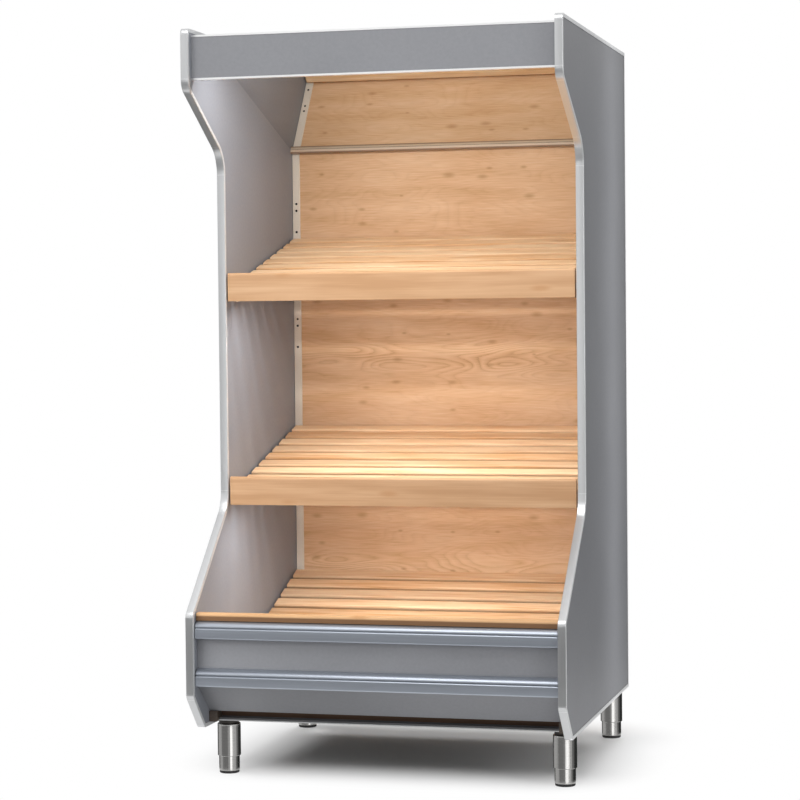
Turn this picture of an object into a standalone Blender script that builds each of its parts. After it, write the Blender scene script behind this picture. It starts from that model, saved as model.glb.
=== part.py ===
"""Vegetable display rack: shaped side panels, sloping slatted shelves, mirror canopy and adjustable feet.

Metres, +Z up. The front faces -Y, the floor is z = 0 and the origin is under the middle of the rack.
Depths (d) run forward from the back edge of the side panels, and heights (h) run up from their bottom edge.
"""

import math

import bmesh
import bpy
from mathutils import Matrix, Vector

# Overall sizes
WIDTH = 1.000
DEPTH = 0.983
PANEL_H = 1.822
FLOOR_GAP = 0.140

# Clearance left between pieces that touch
FIT = 0.0003

# Side panels: board, edge profile and the corner points of the outline
BOARD_T = 0.018
TRIM_WALL = 0.001
TRIM_LEG = 0.010
HEAD_SET = 0.018
RECESS_SET = 0.2975
TOE_SET = 0.0865
NOSE_LOW_H = 0.0905
NOSE_TOP_H = 0.307
RECESS_LOW_H = 0.572
HEAD_SLOPE_H = 0.1605
HEAD_H = 0.154
BACK_R = 0.004
TOE_R = 0.020
NOSE_R = 0.022
RECESS_R = 0.082
HEAD_R = 0.040
CREST_R = 0.015
ARC_STEPS = 6
ROUND_FULLNESS = 0.5
EDGE_STEPS = 2
SMOOTH_ANGLE = math.radians(35)

# Steel frame: uprights, base legs and rails
UPRIGHT_W = 0.0225
UPRIGHT_DEEP = 0.040
UPRIGHT_INSET = 0.0064
TUBE_WALL = 0.0015
TUBE_R = 0.002
BASE_LEG_H = 0.0282
BASE_LEG_PAST_KICK = 0.005
RAIL_DEEP = 0.030
RAIL_BEHIND_KICK = 0.007
RAIL_RAISE = 0.0017
RAIL_H = 0.0336
RAIL_WALL = 0.0025
RAIL_LIP = 0.008

# Holes in the uprights: a pair and a single one below it, at each bracket and at two free levels
HOLE_R = 0.0037
HOLE_PAIR = 0.020
HOLE_SINGLE = 0.0825
HOLE_ABOVE = 0.1578
HOLE_BELOW = 0.1807
HOLE_SIDES = 12
PIN_R = 0.003
PIN_IN = 0.008

# Wood back boards
BACK_T = 0.016
BACK_SET = 0.0024
BACK_SPLIT_DOWN = 0.0859

# Canopy: top board, fascia and its strips
CANOPY_T = 0.016
FASCIA_SET = 0.0305
FASCIA_T = 0.016
FASCIA_UP = 0.0225
FASCIA_DOWN = 0.0152
STRIP_LEG = 0.005

# Mirror: glass, backing and the strip at its foot
MIRROR_FRONT_GAP = 0.1795
GLASS_T = 0.004
GLASS_OVER = 0.0068
BACKING_T = 0.008
FOOT_STRIP_DOWN = 0.2648
FOOT_STRIP_DEEP = 0.0153
FOOT_STRIP_WALL = 0.0015
FOOT_STRIP_LIP = 0.0104
FOOT_STRIP_BACK = 0.023

# Slatted shelves: one grid, one front board and two brackets each
SHELF_TILT = math.radians(14.4)
SHELF_PITCH = 0.550
UPPER_DOWN = 0.5261
FIRST_SLAT_GAP = 0.0092
SLAT_COUNT = 9
SLAT_W = 0.046
SLAT_T = 0.018
SLAT_R = 0.003
SLAT_END_GAP = 0.0062
SLAT_BOARD_GAP = 0.0393
BATTEN_X = 0.300
BATTEN_W = 0.040
BATTEN_T = 0.014
BATTEN_LET_IN = 0.001
FRONT_BOARD_H = 0.076
FRONT_BOARD_T = 0.018
FRONT_BOARD_R = 0.007
FRONT_BOARD_SET = 0.005
FRONT_BOARD_UNDER = 0.0318
ROUND_STEPS = 4

# Shelf brackets
BRACKET_T = 0.003
FLANGE_W = 0.024
LUG_H = 0.012
BRACKET_EDGE = 0.0125
BRACKET_TIP_H = 0.026
BRACKET_HOLE_DOWN = 0.040

# Bin at the bottom
BIN_BACK_H = 0.3321
BIN_FIRST_GAP = 0.0155
BIN_COUNT = 13
BIN_LAST_BACK = 0.003
LEDGER_T = 0.003
LEDGER_LEG = 0.040
LEDGER_UNDER = 0.016

# Lower front: panel, kick panel, bumpers and cap rail
LOWER_SET = 0.0365
LOWER_T = 0.016
LOWER_LOW_UP = 0.0345
LOWER_TOP_DOWN = 0.017
KICK_T = 0.012
KICK_TILT = math.radians(40.8)
KICK_SET = 0.0025
BUMPER_H = 0.046
BUMPER_PEAK_UP = 0.026
BUMPER_DEEP = 0.028
BUMPER_WALL = 0.0025
BUMPER_FULLNESS = 0.8
BUMPER_STEPS = 16
BUMPER_UNDER = 0.0055
GROOVE_W = 0.002
GROOVE_DEEP = 0.0014
GROOVE_UP = 0.031
CAP_H = 0.0195
CAP_FRONT_OVER = 0.012
CAP_BACK_OVER = 0.003
CAP_R = 0.007
CAP_END_GAP = 0.002

# Legs and adjustable feet
LEG_IN = 0.013
FRONT_LEG_BACK = 0.091
BACK_LEG_BACK = 0.0137
LEG_R = 0.031
LEG_WALL = 0.003
LEG_TOP_H = -0.007
LEG_L = 0.087
NECK_R = 0.020
PLATE_T = 0.005
PLATE_HALF = 0.036
SLEEVE_WALL = 0.0025
SLEEVE_PLAY = 0.0004
SLEEVE_IN = 0.050
PAD_T = 0.0057
PAD_R = 0.0265
EDGE_R = 0.0015
LATHE_STEPS = 32

# Places across the rack that follow from the sizes above
SIDE_T = BOARD_T + 2 * (TRIM_WALL + FIT)
BOARD_IN_X = WIDTH / 2 - SIDE_T + TRIM_WALL + FIT
INSIDE_X = BOARD_IN_X - FIT
TRIM_IN_X = WIDTH / 2 - SIDE_T - FIT
UPRIGHT_MID_X = INSIDE_X - UPRIGHT_W / 2
BETWEEN_X = INSIDE_X - UPRIGHT_W - FIT
SLAT_X = BOARD_IN_X - SLAT_END_GAP

# Depths that follow
HEAD_D = DEPTH - HEAD_SET
RECESS_D = DEPTH - RECESS_SET
TOE_D = DEPTH - TOE_SET
UPRIGHT_BACK_D = TRIM_LEG + UPRIGHT_INSET
UPRIGHT_FRONT_D = UPRIGHT_BACK_D + UPRIGHT_DEEP
FRAME_START_D = UPRIGHT_FRONT_D + FIT
FASCIA_FRONT_D = HEAD_D - FASCIA_SET
FASCIA_BACK_D = FASCIA_FRONT_D - FASCIA_T
LOWER_FRONT_D = DEPTH - LOWER_SET
BOARD_FRONT_D = RECESS_D - FRONT_BOARD_SET
BOARD_BACK_D = BOARD_FRONT_D - FRONT_BOARD_T

# Heights that follow
HEAD_LOW_H = PANEL_H - HEAD_H
RECESS_TOP_H = HEAD_LOW_H - HEAD_SLOPE_H
FOOT_STRIP_LOW_H = PANEL_H - FOOT_STRIP_DOWN
UPPER_H = PANEL_H - UPPER_DOWN
LOWER_LOW_H = NOSE_LOW_H + LOWER_LOW_UP
LOWER_TOP_H = NOSE_TOP_H - LOWER_TOP_DOWN
FRAME_LOW_H = TRIM_LEG + FIT
RAIL_LOW_H = FRAME_LOW_H + RAIL_RAISE
RAIL_TOP_H = RAIL_LOW_H + RAIL_H
BASE_LEG_TOP_H = FRAME_LOW_H + BASE_LEG_H
FASCIA_LOW_H = HEAD_LOW_H + FASCIA_UP
FASCIA_TOP_H = PANEL_H - FASCIA_DOWN
CANOPY_TOP_H = FASCIA_TOP_H - STRIP_LEG - FIT
CANOPY_LOW_H = CANOPY_TOP_H - CANOPY_T
LEG_LOW_H = LEG_TOP_H - LEG_L

# Kick panel: outer corners at its top and bottom, and the frame's reach below it
KICK_TOP = Vector((LOWER_FRONT_D - KICK_SET, LOWER_LOW_H - FIT - KICK_T * math.cos(KICK_TILT)))
KICK_DROP = KICK_TOP.y - BASE_LEG_TOP_H - FIT
KICK_LOW = KICK_TOP - Vector((KICK_DROP / math.tan(KICK_TILT), KICK_DROP))
BASE_LEG_FRONT_D = KICK_LOW.x + BASE_LEG_PAST_KICK
RAIL_FRONT_D = KICK_LOW.x - RAIL_BEHIND_KICK
RAIL_BACK_D = RAIL_FRONT_D - RAIL_DEEP

# Bin slope: from the back edge of the first slat down to the rail that carries the last one
BIN_BACK_D = FRAME_START_D + BIN_FIRST_GAP
BIN_REACH = RAIL_FRONT_D - BIN_BACK_D
BIN_DROP = BIN_BACK_H - RAIL_TOP_H - FIT
BIN_TILT = math.acos(SLAT_T / math.hypot(BIN_REACH, BIN_DROP)) - math.atan2(BIN_REACH, BIN_DROP)
BIN_H = BIN_BACK_H - SLAT_W * math.sin(BIN_TILT)

# Slat patterns: front edge of the first slat, and the step that brings the last one to its place
SHELF_START_D = FRAME_START_D + FIRST_SLAT_GAP + SLAT_W * math.cos(SHELF_TILT)
SHELF_RUN = BOARD_BACK_D - SLAT_BOARD_GAP - SHELF_START_D
SLAT_PITCH = SHELF_RUN / math.cos(SHELF_TILT) / (SLAT_COUNT - 1)
BIN_START_D = BIN_BACK_D + SLAT_W * math.cos(BIN_TILT)
BIN_RUN = RAIL_FRONT_D + SLAT_T * math.sin(BIN_TILT) - BIN_LAST_BACK - BIN_START_D
BIN_PITCH = BIN_RUN / math.cos(BIN_TILT) / (BIN_COUNT - 1)

# Clear the scene and set up the two collections
for old in list(bpy.data.objects):
    bpy.data.objects.remove(old)
rack = bpy.data.collections.new("vegetable_display_rack")
cutters = bpy.data.collections.new("cutters")
for collection in (rack, cutters):
    bpy.context.scene.collection.children.link(collection)
cutters.hide_render = True


def material(name, colour, roughness, metallic=0.0):
    made = bpy.data.materials.new(name)
    made.use_nodes = True
    shader = made.node_tree.nodes["Principled BSDF"]
    shader.inputs["Base Color"].default_value = (*colour, 1.0)
    shader.inputs["Roughness"].default_value = roughness
    shader.inputs["Metallic"].default_value = metallic
    return made


LAMINATE = material("grey_laminate", (0.33, 0.33, 0.35), 0.55)
ALUMINIUM = material("satin_aluminium", (0.60, 0.61, 0.62), 0.35, 1.0)
CREAM = material("cream_powder_coat", (0.57, 0.49, 0.38), 0.45)
WOOD = material("oiled_wood", (0.62, 0.37, 0.19), 0.50)
MIRROR = material("mirror_glass", (0.85, 0.87, 0.87), 0.03, 1.0)
BACKING = material("backing_board", (0.25, 0.24, 0.23), 0.70)
BUMPER = material("bumper_profile", (0.36, 0.38, 0.43), 0.35, 0.6)
STEEL = material("polished_stainless", (0.62, 0.62, 0.62), 0.18, 1.0)
DARK = material("dark_steel", (0.06, 0.05, 0.05), 0.50, 0.3)
RUBBER = material("black_rubber", (0.02, 0.02, 0.02), 0.70)


def at(d, h, x=0.0):
    """The rack's own coordinates of a depth from the back and a height above the panels' bottom edge."""
    return Vector((x, DEPTH / 2 - d, FLOOR_GAP + h))


def add(name, mesh, finish, place=(0, 0, 0), turn=(0, 0, 0), where=rack, parent=None):
    """A named object with its material, at its place in the rack."""
    made = bpy.data.objects.new(name, mesh)
    mesh.materials.append(finish)
    made.location = place
    made.rotation_euler = turn
    made.parent = parent
    where.objects.link(made)
    if where is cutters:
        made.hide_render = True
        made.display_type = "WIRE"
    return made


def mesh_from(name, shape):
    bmesh.ops.recalc_face_normals(shape, faces=shape.faces)
    mesh = bpy.data.meshes.new(name)
    shape.to_mesh(mesh)
    shape.free()
    return mesh


def box_into(shape, low, high):
    """A box between two corners, added to a shape."""
    size = [b - a for a, b in zip(low, high)]
    middle = [(a + b) / 2 for a, b in zip(low, high)]
    matrix = Matrix.Translation(middle) @ Matrix.Diagonal((*size, 1.0))
    bmesh.ops.create_cube(shape, size=1.0, matrix=matrix)


def box_mesh(name, low, high):
    shape = bmesh.new()
    box_into(shape, low, high)
    return mesh_from(name, shape)


def rack_box(name, x_half, d_range, h_range, finish):
    """A plain board or bar across the rack, given by depths and heights."""
    middle = at(sum(d_range) / 2, sum(h_range) / 2)
    half = Vector((x_half, (d_range[1] - d_range[0]) / 2, (h_range[1] - h_range[0]) / 2))
    return add(name, box_mesh(name, -half, half), finish, middle)


def prism_mesh(name, points, x_low, x_high):
    """Points (y, z) of one closed outline, drawn out along X."""
    shape = bmesh.new()
    face = shape.faces.new([shape.verts.new((x_low, y, z)) for y, z in points])
    drawn = bmesh.ops.extrude_face_region(shape, geom=[face], use_keep_orig=True)["geom"]
    moved = [v for v in drawn if isinstance(v, bmesh.types.BMVert)]
    bmesh.ops.translate(shape, verts=moved, vec=(x_high - x_low, 0, 0))
    return mesh_from(name, shape)


def across(name, points_dh, finish, x_half=INSIDE_X, x_mid=0.0):
    """An outline of (depth, height) points drawn out across the rack."""
    first = at(*points_dh[0], x_mid)
    local = [(at(d, h).y - first.y, at(d, h).z - first.z) for d, h in points_dh]
    return add(name, prism_mesh(name, local, -x_half, x_half), finish, first)


def boolean(target, other, operation):
    cut = target.modifiers.new(operation.lower(), "BOOLEAN")
    cut.operation = operation
    cut.solver = "EXACT"
    cut.object = other


def round_long_edges(shape, axis, length, radius, steps, keep=lambda v: True):
    """Rounds the edges of a shape that run along one axis for at least a length."""
    chosen = []
    for edge in shape.edges:
        first, second = edge.verts
        if abs(first.co[axis] - second.co[axis]) > length and keep(first) and keep(second):
            chosen.append(edge)
    bmesh.ops.bevel(
        shape,
        geom=chosen,
        offset=radius,
        segments=steps,
        profile=ROUND_FULLNESS,
        affect="EDGES",
        material=-1,
    )


def tube_mesh(name, low, high, axis):
    """A bar between two corners with the rounded long edges of a drawn tube."""
    shape = bmesh.new()
    box_into(shape, low, high)
    round_long_edges(shape, axis, (high[axis] - low[axis]) / 2, TUBE_R, EDGE_STEPS)
    return mesh_from(name, shape)


def smooth(target):
    for face in target.data.polygons:
        face.use_smooth = True
    target.data.set_sharp_from_angle(angle=SMOOTH_ANGLE)


def rounded(corners, inset):
    """The points of an outline with rounded corners, all moved inwards by the inset."""
    count = len(corners)
    normals = []
    for i in range(count):
        along = (Vector(corners[(i + 1) % count][:2]) - Vector(corners[i][:2])).normalized()
        normals.append(Vector((-along.y, along.x)))
    points = []
    for i, (d, h, radius) in enumerate(corners):
        before, after = normals[i - 1], normals[i]
        half = (before + after) / (1 + before.dot(after))
        turn = before.x * after.y - before.y * after.x
        bend = 1 if turn > 0 else -1
        centre = Vector((d, h)) + half * radius * bend
        reach = (radius - bend * inset) * bend
        angle = math.atan2(turn, before.dot(after))
        for step in range(ARC_STEPS + 1):
            spun = Matrix.Rotation(angle * step / ARC_STEPS, 2) @ before
            points.append(tuple(centre - spun * reach))
    return points


# Outline of a side panel, anticlockwise seen with the front on the right
OUTLINE = (
    (0.0, 0.0, BACK_R),
    (TOE_D, 0.0, TOE_R),
    (DEPTH, NOSE_LOW_H, NOSE_R),
    (DEPTH, NOSE_TOP_H, NOSE_R),
    (RECESS_D, RECESS_LOW_H, RECESS_R),
    (RECESS_D, RECESS_TOP_H, RECESS_R),
    (HEAD_D, HEAD_LOW_H, HEAD_R),
    (HEAD_D, PANEL_H, CREST_R),
    (0.0, PANEL_H, BACK_R),
)


def edge_profile_mesh(name):
    """The U profile that runs round the whole edge of a side panel."""
    half = SIDE_T / 2
    section = (
        (0.0, half),
        (TRIM_LEG, half),
        (TRIM_LEG, half - TRIM_WALL),
        (TRIM_WALL, half - TRIM_WALL),
        (TRIM_WALL, TRIM_WALL - half),
        (TRIM_LEG, TRIM_WALL - half),
        (TRIM_LEG, -half),
        (0.0, -half),
    )
    shape = bmesh.new()
    loops = []
    for inset, x in section:
        loops.append([shape.verts.new((x, DEPTH / 2 - d, h)) for d, h in rounded(OUTLINE, inset)])
    for i in range(len(loops)):
        ring, following = loops[i], loops[(i + 1) % len(loops)]
        for j in range(len(ring)):
            k = (j + 1) % len(ring)
            shape.faces.new((ring[j], ring[k], following[k], following[j]))
    return mesh_from(name, shape)


# Side panels and their edge profiles
for side, sign in (("left", -1), ("right", 1)):
    board_points = [(DEPTH / 2 - d, h) for d, h in rounded(OUTLINE, TRIM_WALL + FIT)]
    panel_mesh = prism_mesh(f"side_panel_{side}", board_points, -BOARD_T / 2, BOARD_T / 2)
    middle_x = sign * (WIDTH / 2 - SIDE_T / 2)
    add(f"side_panel_{side}", panel_mesh, LAMINATE, (middle_x, 0, FLOOR_GAP))
    trim_mesh = edge_profile_mesh(f"edge_trim_{side}")
    smooth(add(f"edge_trim_{side}", trim_mesh, ALUMINIUM, (middle_x, 0, FLOOR_GAP)))


def pin_into(shape, place, radius, length):
    """A round pin or drill along Y, added to a shape."""
    matrix = Matrix.Translation(place) @ Matrix.Rotation(math.radians(90), 4, "X")
    bmesh.ops.create_cone(
        shape, cap_ends=True, segments=HOLE_SIDES, radius1=radius, radius2=radius, depth=length, matrix=matrix
    )


def slat_top_h(d, start_d, start_h, tilt):
    """Height of a slat grid's top face at a depth."""
    return start_h - (d - start_d) * math.tan(tilt)


def slat_under_h(d, start_d, start_h, tilt):
    """Height of the slats' underside at a depth."""
    return slat_top_h(d, start_d, start_h, tilt) - SLAT_T / math.cos(tilt)


# Uprights: perforated box sections in the back corners
SHELF_HEIGHTS = {"upper": UPPER_H, "middle": UPPER_H - SHELF_PITCH}
bracket_levels = []
for height in SHELF_HEIGHTS.values():
    bracket_top = slat_under_h(UPRIGHT_FRONT_D, SHELF_START_D, height, SHELF_TILT)
    bracket_levels.append(bracket_top - BRACKET_HOLE_DOWN)
hole_levels = (bracket_levels[0] + HOLE_ABOVE, bracket_levels[0] - HOLE_BELOW, *bracket_levels)
half_w = UPRIGHT_W / 2
bore = half_w - TUBE_WALL
for side, sign in (("left", -1), ("right", 1)):
    name = f"upright_{side}"
    foot = at(UPRIGHT_FRONT_D, FRAME_LOW_H, sign * UPRIGHT_MID_X)
    length = CANOPY_LOW_H - FIT - FRAME_LOW_H
    body = tube_mesh(name, (-half_w, 0, 0), (half_w, UPRIGHT_DEEP, length), 2)
    upright = add(name, body, CREAM, foot)
    hollow_high = (bore, UPRIGHT_DEEP - TUBE_WALL, 2 * length)
    hollow_mesh = box_mesh("hollow", (-bore, TUBE_WALL, -length), hollow_high)
    boolean(upright, add(f"cut_{name}", hollow_mesh, CREAM, foot, where=cutters), "DIFFERENCE")
    drills = bmesh.new()
    for level in hole_levels:
        for down in (0.0, HOLE_PAIR, HOLE_SINGLE):
            pin_into(drills, (0, 0, level - down - FRAME_LOW_H), HOLE_R, UPRIGHT_DEEP / 2)
    holes = add(f"cut_{name}_holes", mesh_from("holes", drills), CREAM, foot, where=cutters)
    boolean(upright, holes, "DIFFERENCE")

# Base legs run forward from the uprights, closed at the front
for side, sign in (("left", -1), ("right", 1)):
    name = f"base_leg_{side}"
    front = at(BASE_LEG_FRONT_D, FRAME_LOW_H, sign * UPRIGHT_MID_X)
    length = BASE_LEG_FRONT_D - FRAME_START_D
    leg = add(name, tube_mesh(name, (-half_w, 0, 0), (half_w, length, BASE_LEG_H), 1), CREAM, front)
    hollow_mesh = box_mesh(
        "hollow", (-bore, TUBE_WALL, TUBE_WALL), (bore, 2 * length, BASE_LEG_H - TUBE_WALL)
    )
    boolean(leg, add(f"cut_{name}", hollow_mesh, CREAM, front, where=cutters), "DIFFERENCE")

# Front rail: a lipped channel, open to the front, under the lowest slat of the bin
across(
    "base_rail_front",
    (
        (RAIL_BACK_D, RAIL_LOW_H),
        (RAIL_FRONT_D, RAIL_LOW_H),
        (RAIL_FRONT_D, RAIL_LOW_H + RAIL_LIP),
        (RAIL_FRONT_D - RAIL_WALL, RAIL_LOW_H + RAIL_LIP),
        (RAIL_FRONT_D - RAIL_WALL, RAIL_LOW_H + RAIL_WALL),
        (RAIL_BACK_D + RAIL_WALL, RAIL_LOW_H + RAIL_WALL),
        (RAIL_BACK_D + RAIL_WALL, RAIL_TOP_H - RAIL_WALL),
        (RAIL_FRONT_D, RAIL_TOP_H - RAIL_WALL),
        (RAIL_FRONT_D, RAIL_TOP_H),
        (RAIL_BACK_D, RAIL_TOP_H),
    ),
    DARK,
    BETWEEN_X,
)

# Back rail: a tube between the uprights
rail_place = at(UPRIGHT_BACK_D + RAIL_DEEP, FRAME_LOW_H)
rail_mesh = tube_mesh("base_rail_back", (-BETWEEN_X, 0, 0), (BETWEEN_X, RAIL_DEEP, BASE_LEG_H), 0)
back_rail = add("base_rail_back", rail_mesh, CREAM, rail_place)
hollow_mesh = box_mesh(
    "hollow", (-WIDTH, TUBE_WALL, TUBE_WALL), (WIDTH, RAIL_DEEP - TUBE_WALL, BASE_LEG_H - TUBE_WALL)
)
boolean(back_rail, add("cut_base_rail_back", hollow_mesh, CREAM, rail_place, where=cutters), "DIFFERENCE")

# Wood back boards, one behind each bay
back_d = (UPRIGHT_FRONT_D - BACK_SET - BACK_T, UPRIGHT_FRONT_D - BACK_SET)
splits = [height - BACK_SPLIT_DOWN for height in reversed(SHELF_HEIGHTS.values())]
back_edges = (BASE_LEG_TOP_H, *splits, CANOPY_LOW_H)
for bay, low_h, high_h in zip(("lower", "middle", "upper"), back_edges, back_edges[1:]):
    rack_box(f"back_board_{bay}", BETWEEN_X, back_d, (low_h + FIT, high_h - FIT), WOOD)

# Canopy top board
canopy_d = (UPRIGHT_BACK_D, FASCIA_BACK_D - FIT)
rack_box("canopy_top", INSIDE_X, canopy_d, (CANOPY_LOW_H, CANOPY_TOP_H), LAMINATE)

# Fascia with a U strip on its lower and upper edges
fascia_h = (FASCIA_LOW_H + TRIM_WALL + FIT, FASCIA_TOP_H - TRIM_WALL - FIT)
rack_box("fascia_panel", INSIDE_X, (FASCIA_BACK_D, FASCIA_FRONT_D), fascia_h, LAMINATE)
for edge, edge_h, up in (("bottom", FASCIA_LOW_H, 1), ("top", FASCIA_TOP_H, -1)):
    inner_back = FASCIA_BACK_D - FIT
    inner_front = FASCIA_FRONT_D + FIT
    web_h = edge_h + up * TRIM_WALL
    tip_h = edge_h + up * STRIP_LEG
    points = (
        (inner_back - TRIM_WALL, edge_h),
        (inner_front + TRIM_WALL, edge_h),
        (inner_front + TRIM_WALL, tip_h),
        (inner_front, tip_h),
        (inner_front, web_h),
        (inner_back, web_h),
        (inner_back, tip_h),
        (inner_back - TRIM_WALL, tip_h),
    )
    across(f"fascia_strip_{edge}", points, ALUMINIUM)

# Foot strip of the mirror: a J section with its lip under the glass
strip_front = FRAME_START_D + FOOT_STRIP_DEEP
strip_web = FOOT_STRIP_LOW_H + FOOT_STRIP_WALL
lip_back = strip_front - FOOT_STRIP_WALL
lip_top = FOOT_STRIP_LOW_H + FOOT_STRIP_LIP
across(
    "mirror_foot_strip",
    (
        (FRAME_START_D, FOOT_STRIP_LOW_H),
        (strip_front, FOOT_STRIP_LOW_H),
        (strip_front, lip_top),
        (lip_back, lip_top),
        (lip_back, strip_web),
        (FRAME_START_D + FOOT_STRIP_WALL, strip_web),
        (FRAME_START_D + FOOT_STRIP_WALL, FOOT_STRIP_LOW_H + FOOT_STRIP_BACK),
        (FRAME_START_D, FOOT_STRIP_LOW_H + FOOT_STRIP_BACK),
    ),
    ALUMINIUM,
)

# Mirror glass, facing down and forward from the strip's lip up to the canopy top, with its backing
mirror_run = FASCIA_BACK_D - MIRROR_FRONT_GAP - lip_back
mirror_rise = CANOPY_LOW_H - FIT - GLASS_T - (lip_top + FIT)
mirror_tilt = math.atan2(mirror_rise, mirror_run)
mirror_place = at(lip_back, lip_top + FIT)
glass_l = math.hypot(mirror_run, mirror_rise)
glass_mesh = box_mesh("mirror_glass", (-INSIDE_X, -glass_l, 0), (INSIDE_X, GLASS_OVER, GLASS_T))
add("mirror_glass", glass_mesh, MIRROR, mirror_place, (-mirror_tilt, 0, 0))
backing_l = glass_l - (BACKING_T + FIT) / math.tan(mirror_tilt)
backing_low = (-INSIDE_X, -backing_l, GLASS_T + FIT)
backing_high = (INSIDE_X, GLASS_OVER, GLASS_T + FIT + BACKING_T)
backing_mesh = box_mesh("mirror_backing", backing_low, backing_high)
add("mirror_backing", backing_mesh, BACKING, mirror_place, (-mirror_tilt, 0, 0))


def slat_grid(name, tilt, pitch, count, batten_back, batten_front, lift):
    """Rounded slats on two battens. Local y = 0 is the front edge of the slat at the back."""
    shape = bmesh.new()
    for k in range(count):
        front = -k * pitch
        box_into(shape, (-SLAT_X, front, -SLAT_T), (SLAT_X, front + SLAT_W, 0))
    round_long_edges(shape, 0, SLAT_X, SLAT_R, EDGE_STEPS)
    grid = add(name, mesh_from(name, shape), WOOD, turn=(tilt, 0, 0), parent=lift)
    battens = bmesh.new()
    for x in (-BATTEN_X, BATTEN_X):
        low = (x - BATTEN_W / 2, -batten_front, -SLAT_T - BATTEN_T)
        high = (x + BATTEN_W / 2, -batten_back, BATTEN_LET_IN - SLAT_T)
        box_into(battens, low, high)
    tool_mesh = mesh_from("battens", battens)
    tool = add(f"join_{name}", tool_mesh, WOOD, turn=(tilt, 0, 0), where=cutters, parent=lift)
    boolean(grid, tool, "UNION")


def shelf_bracket(name, sign, height):
    """A plate that tapers to the front, with a flange under the slats, a lug at its tip and two pins."""
    tip_s = (SLAT_COUNT - 1) * SLAT_PITCH + FIT + BRACKET_T
    top_z = -SLAT_T - FIT
    web_z = top_z - BRACKET_T / 2
    web_tip_s = tip_s - BRACKET_T / 2
    tip_d = SHELF_START_D + web_tip_s * math.cos(SHELF_TILT) + web_z * math.sin(SHELF_TILT)
    tip_h = height - web_tip_s * math.sin(SHELF_TILT) + web_z * math.cos(SHELF_TILT)
    under_h = slat_under_h(UPRIGHT_FRONT_D, SHELF_START_D, height, SHELF_TILT)
    plate = (
        (FRAME_START_D, under_h - BRACKET_HOLE_DOWN - HOLE_SINGLE - BRACKET_EDGE),
        (tip_d, tip_h - BRACKET_TIP_H),
        (tip_d, tip_h),
        (FRAME_START_D, tip_h + (tip_d - FRAME_START_D) * math.tan(SHELF_TILT)),
    )
    bracket = across(name, plate, CREAM, BRACKET_T / 2, sign * UPRIGHT_MID_X)
    grid_place = at(SHELF_START_D, height, sign * UPRIGHT_MID_X)
    lean = (BRACKET_T - top_z) * math.sin(SHELF_TILT)
    back_s = (FRAME_START_D + lean - SHELF_START_D) / math.cos(SHELF_TILT)
    flange = (
        (-back_s, top_z - BRACKET_T),
        (-tip_s, top_z - BRACKET_T),
        (-tip_s, top_z + LUG_H),
        (BRACKET_T - tip_s, top_z + LUG_H),
        (BRACKET_T - tip_s, top_z),
        (-back_s, top_z),
    )
    x_low, x_high = sorted((0.0, -sign * (FLANGE_W - BRACKET_T / 2)))
    flange_mesh = prism_mesh("flange", flange, x_low, x_high)
    flange_tool = add(f"join_{name}", flange_mesh, CREAM, grid_place, (SHELF_TILT, 0, 0), where=cutters)
    boolean(bracket, flange_tool, "UNION")
    pins = bmesh.new()
    for down in (0.0, HOLE_SINGLE):
        pin_into(pins, (0, 0, -BRACKET_HOLE_DOWN - down), PIN_R, 2 * PIN_IN)
    pin_place = at(FRAME_START_D, under_h, sign * UPRIGHT_MID_X)
    pin_tool = add(f"join_{name}_pins", mesh_from("pins", pins), CREAM, pin_place, where=cutters)
    boolean(bracket, pin_tool, "UNION")


# Upper and middle shelves: grid and front board ride together, and brackets stay on the uprights
board_mid_d = (BOARD_FRONT_D + BOARD_BACK_D) / 2
half_t = FRONT_BOARD_T / 2
batten_top = (SLAT_T - BATTEN_LET_IN) * math.sin(SHELF_TILT)
batten_front = (BOARD_BACK_D - FIT - SHELF_START_D + batten_top) / math.cos(SHELF_TILT)
for shelf, height in SHELF_HEIGHTS.items():
    lift = bpy.data.objects.new(f"{shelf}_shelf_lift", None)
    lift.location = at(SHELF_START_D, height)
    rack.objects.link(lift)
    slat_grid(f"{shelf}_slat_grid", SHELF_TILT, SLAT_PITCH, SLAT_COUNT, -SLAT_W / 2, batten_front, lift)
    board_low_h = slat_top_h(board_mid_d, SHELF_START_D, height, SHELF_TILT) - FRONT_BOARD_UNDER
    offset = at(board_mid_d, board_low_h) - at(SHELF_START_D, height)
    shape = bmesh.new()
    box_into(shape, (-SLAT_X, -half_t, 0), (SLAT_X, half_t, FRONT_BOARD_H))
    round_long_edges(shape, 0, SLAT_X, FRONT_BOARD_R, ROUND_STEPS, lambda v: v.co.z > FRONT_BOARD_H / 2)
    add(f"{shelf}_front_board", mesh_from("front_board", shape), WOOD, offset, parent=lift)
    for side, sign in (("left", -1), ("right", 1)):
        shelf_bracket(f"{shelf}_bracket_{side}", sign, height)

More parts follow.
